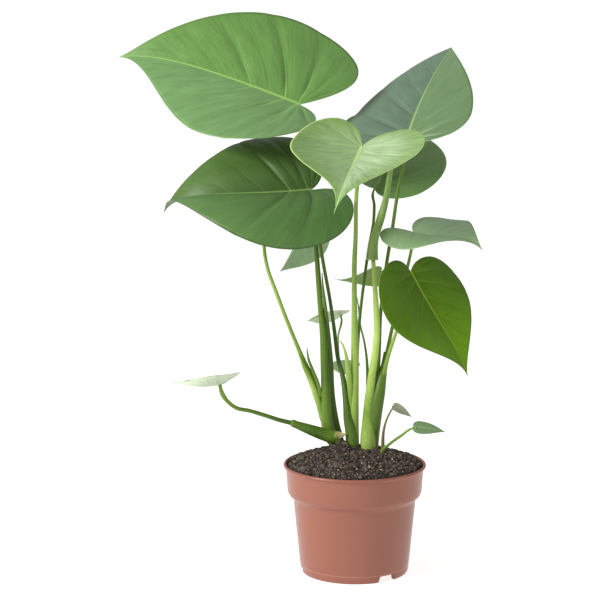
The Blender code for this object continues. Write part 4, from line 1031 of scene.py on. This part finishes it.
def soil_height(x, y):
    """Dome 129.3 + 17 (1 - share^2)^0.9, with low lumps and two heaps at the stems."""
    share = np.clip(np.hypot(x, y) / 80.0, 0, 1)
    lumps = 0.8 * np.sin(0.21 * x + 1.3) * np.cos(0.17 * y) + 0.6 * np.sin(0.33 * y - 0.26 * x)
    heap = 12.0 * np.exp(-((x + 17.0)**2 + (y - 30.0)**2) / 64.0)
    heap = heap + 14.0 * np.exp(-((x + 16.5)**2 + (y - 3.0)**2) / 80.0)
    return 129.3 + 17.0 * (1 - share**2)**0.9 + lumps * (1 - share**4) + heap


def rough(x, y):
    """Small unevenness: waves of many directions and sizes, each with its own phase."""
    total = np.zeros_like(x)
    for size in (9.0, 5.5, 3.4, 2.1):
        for _ in range(5):
            angle, phase = random.uniform(0, 2 * math.pi, 2)
            total += size * 0.02 * np.sin((x * math.cos(angle) + y * math.sin(angle)) * 2 * math.pi / size + phase)
    return total


def soil_body():
    """Dome of rings, closed by a wall and a floor that stay inside the pot."""
    rings, sides = 70, 200
    turn = np.arange(sides) * 2 * math.pi / sides
    radius = SOIL_RADIUS * np.linspace(0.008, 1, rings)[:, None]
    x, y = radius * np.cos(turn), radius * np.sin(turn)
    fade = 1 - smooth_step(0.93, 1.0, radius / SOIL_RADIUS)
    z = soil_height(x, y) + rough(x, y) * fade - 1.0 * (1 - fade)
    top = np.stack([x, y, z], -1)
    wall = [np.stack([r * np.cos(turn), r * np.sin(turn), 0 * turn + h], -1)
            for r, h in ((77.6, 100.0), (73.8, 96.0), (70.6, 89.0), (63.2, 11.3), (1.0, 11.3))]
    grid = np.concatenate([top, np.stack(wall)])
    faces = grid_faces(len(grid), sides, wrap=True)[:, ::-1].tolist()
    points = grid.reshape(-1, 3)
    faces.append(list(range(sides)))
    faces.append(list(range(len(points) - 1, len(points) - sides - 1, -1)))
    return points, faces, {}, [0] * len(faces)


def icosahedron():
    g = (1 + 5**0.5) / 2
    corners = np.array([(-1, g, 0), (1, g, 0), (-1, -g, 0), (1, -g, 0), (0, -1, g), (0, 1, g), (0, -1, -g),
                        (0, 1, -g), (g, 0, -1), (g, 0, 1), (-g, 0, -1), (-g, 0, 1)]) / math.hypot(1, g)
    faces = [(0, 11, 5), (0, 5, 1), (0, 1, 7), (0, 7, 10), (0, 10, 11), (1, 5, 9), (5, 11, 4), (11, 10, 2),
             (10, 7, 6), (7, 1, 8), (3, 9, 4), (3, 4, 2), (3, 2, 6), (3, 6, 8), (3, 8, 9), (4, 9, 5),
             (2, 4, 11), (6, 2, 10), (8, 6, 7), (9, 8, 1)]
    return corners, np.array(faces)


def crumbs(count, low, high, owner, sink=0.2, flat=0.8):
    """Lumps of uneven size, strewn evenly over the dome and a little sunk in it."""
    corners, faces = icosahedron()
    radius = (SOIL_RADIUS - 1.6) * np.sqrt(random.uniform(0, 1, count))
    angle = random.uniform(0, 2 * math.pi, count)
    size = low + (high - low) * random.uniform(0, 1, count)**3
    x, y = radius * np.cos(angle), radius * np.sin(angle)
    place = np.stack([x, y, soil_height(x, y) + size * sink], -1)
    shape = corners[None] * random.uniform(0.7, 1.25, (count, 12, 1)) * random.uniform(0.7, 1.3, (count, 1, 3))
    spin = random.uniform(0, 2 * math.pi, count)
    turned = np.stack([shape[..., 0] * np.cos(spin)[:, None] - shape[..., 1] * np.sin(spin)[:, None],
                       shape[..., 0] * np.sin(spin)[:, None] + shape[..., 1] * np.cos(spin)[:, None],
                       shape[..., 2] * flat], -1)
    points = (turned * size[:, None, None] + place[:, None]).reshape(-1, 3)
    every = (faces[None] + 12 * np.arange(count)[:, None, None]).reshape(-1, 3)
    shade = np.repeat(random.uniform(0, 1, count), 12)
    return points, every.tolist(), {"shade": shade}, [owner] * len(every)


def fibres(count, owner):
    """Thin three-sided straws of 3 to 10 mm, lying at all angles."""
    parts = []
    for _ in range(count):
        radius, angle = (SOIL_RADIUS - 8) * math.sqrt(random.uniform()), random.uniform(0, 2 * math.pi)
        length, heading = random.uniform(3, 10), random.uniform(0, 2 * math.pi)
        start = np.array((radius * math.cos(angle), radius * math.sin(angle)))
        step = np.array((math.cos(heading), math.sin(heading))) * length
        route = [(*p, float(soil_height(*p)) + h, 0.28) for p, h in
                 ((start, 0.5), (start + step / 2, random.uniform(0.8, 2.2)), (start + step, 0.5))]
        parts.append((*stalk(route, ((0, 0), (1, 1)), sides=4), [owner]))
    return parts


# %% Soil materials
def grain_material(name, dark, light, roughness=0.95, specular=0.2):
    material, tree, shader = new_material(name, roughness, Specular_IOR_Level=specular)
    base = mix_colour(tree, attribute(tree, "shade"), linear(*dark), linear(*light))
    skin = use_group(tree, mottle, Colour=base, Patch_size=0.004, Patch_strength=0.5,
                     Speck_size=0.0006, Speck_strength=0.6)
    tree.links.new(skin.outputs["Colour"], shader.inputs["Base Color"])
    bump(tree, shader, skin.outputs["Height"], 0.8, 0.0008)
    return material


PEAT = grain_material("peat_crumb", (58, 50, 46), (106, 96, 88))
PERLITE = grain_material("perlite", (206, 190, 158), (236, 226, 204), 0.8)
BARK = grain_material("bark_fibre", (118, 96, 70), (190, 162, 118), 0.8)
straws = [(p, f, v, owner * len(f)) for p, f, v, owner in fibres(90, 2)]
joined_piece("soil_surface", [
    soil_body(),
    crumbs(3200, 0.7, 3.0, 0),
    crumbs(200, 0.5, 1.3, 1, sink=0.75),
    crumbs(300, 0.5, 1.7, 2, sink=0.6, flat=0.5),
    *straws,
], [PEAT, PERLITE, BARK], ("soil",))

# %% [markdown]
# ## Floor, light and camera look
#
# The photograph has a plain white ground.  A wide pale floor in a white world gives it, and
# one large soft lamp on the left front with a weaker one on the right model the forms.

# %% Floor and light
floor_mesh = bpy.data.meshes.new("floor")
floor_mesh.from_pydata([(-30, -30, 0), (30, -30, 0), (30, 30, 0), (-30, 30, 0)], [], [(0, 1, 2, 3)])
floor = bpy.data.objects.new("floor", floor_mesh)
bpy.context.scene.collection.objects.link(floor)
floor_look, floor_tree, floor_shader = new_material("floor", 1.0, Specular_IOR_Level=0.0)
floor_shader.inputs["Base Color"].default_value = (0.5, 0.5, 0.5, 1.0)
floor_shader.inputs["Emission Color"].default_value = (1.0, 1.0, 1.0, 1.0)
floor_shader.inputs["Emission Strength"].default_value = 0.8
floor_mesh.materials.append(floor_look)


def soft_lamp(name, place, target, size, power, colour=(1, 1, 1)):
    data = bpy.data.lights.new(name, "AREA")
    data.shape, data.size, data.energy, data.color = "DISK", size, power, colour
    lamp = bpy.data.objects.new(name, data)
    lamp.location = place
    lamp.rotation_euler = (Vector(target) - Vector(place)).to_track_quat("-Z", "Y").to_euler()
    bpy.context.scene.collection.objects.link(lamp)
    return lamp


soft_lamp("key", (-2.3, -1.3, 1.8), (0, 0, 0.3), 1.2, 92)
soft_lamp("fill", (2.2, -0.6, 1.0), (0, 0, 0.3), 1.2, 5)

world = bpy.data.worlds.new("studio")
bpy.context.scene.world = world
world.use_nodes = True
world.node_tree.nodes["Background"].inputs["Color"].default_value = (1.0, 1.0, 1.0, 1.0)
world.node_tree.nodes["Background"].inputs["Strength"].default_value = 0.46
view = bpy.context.scene.view_settings
view.view_transform = "Standard"
view.look = "None"
view.exposure = 0.0
view.gamma = 1.0
print("floor, two lamps and a white world")
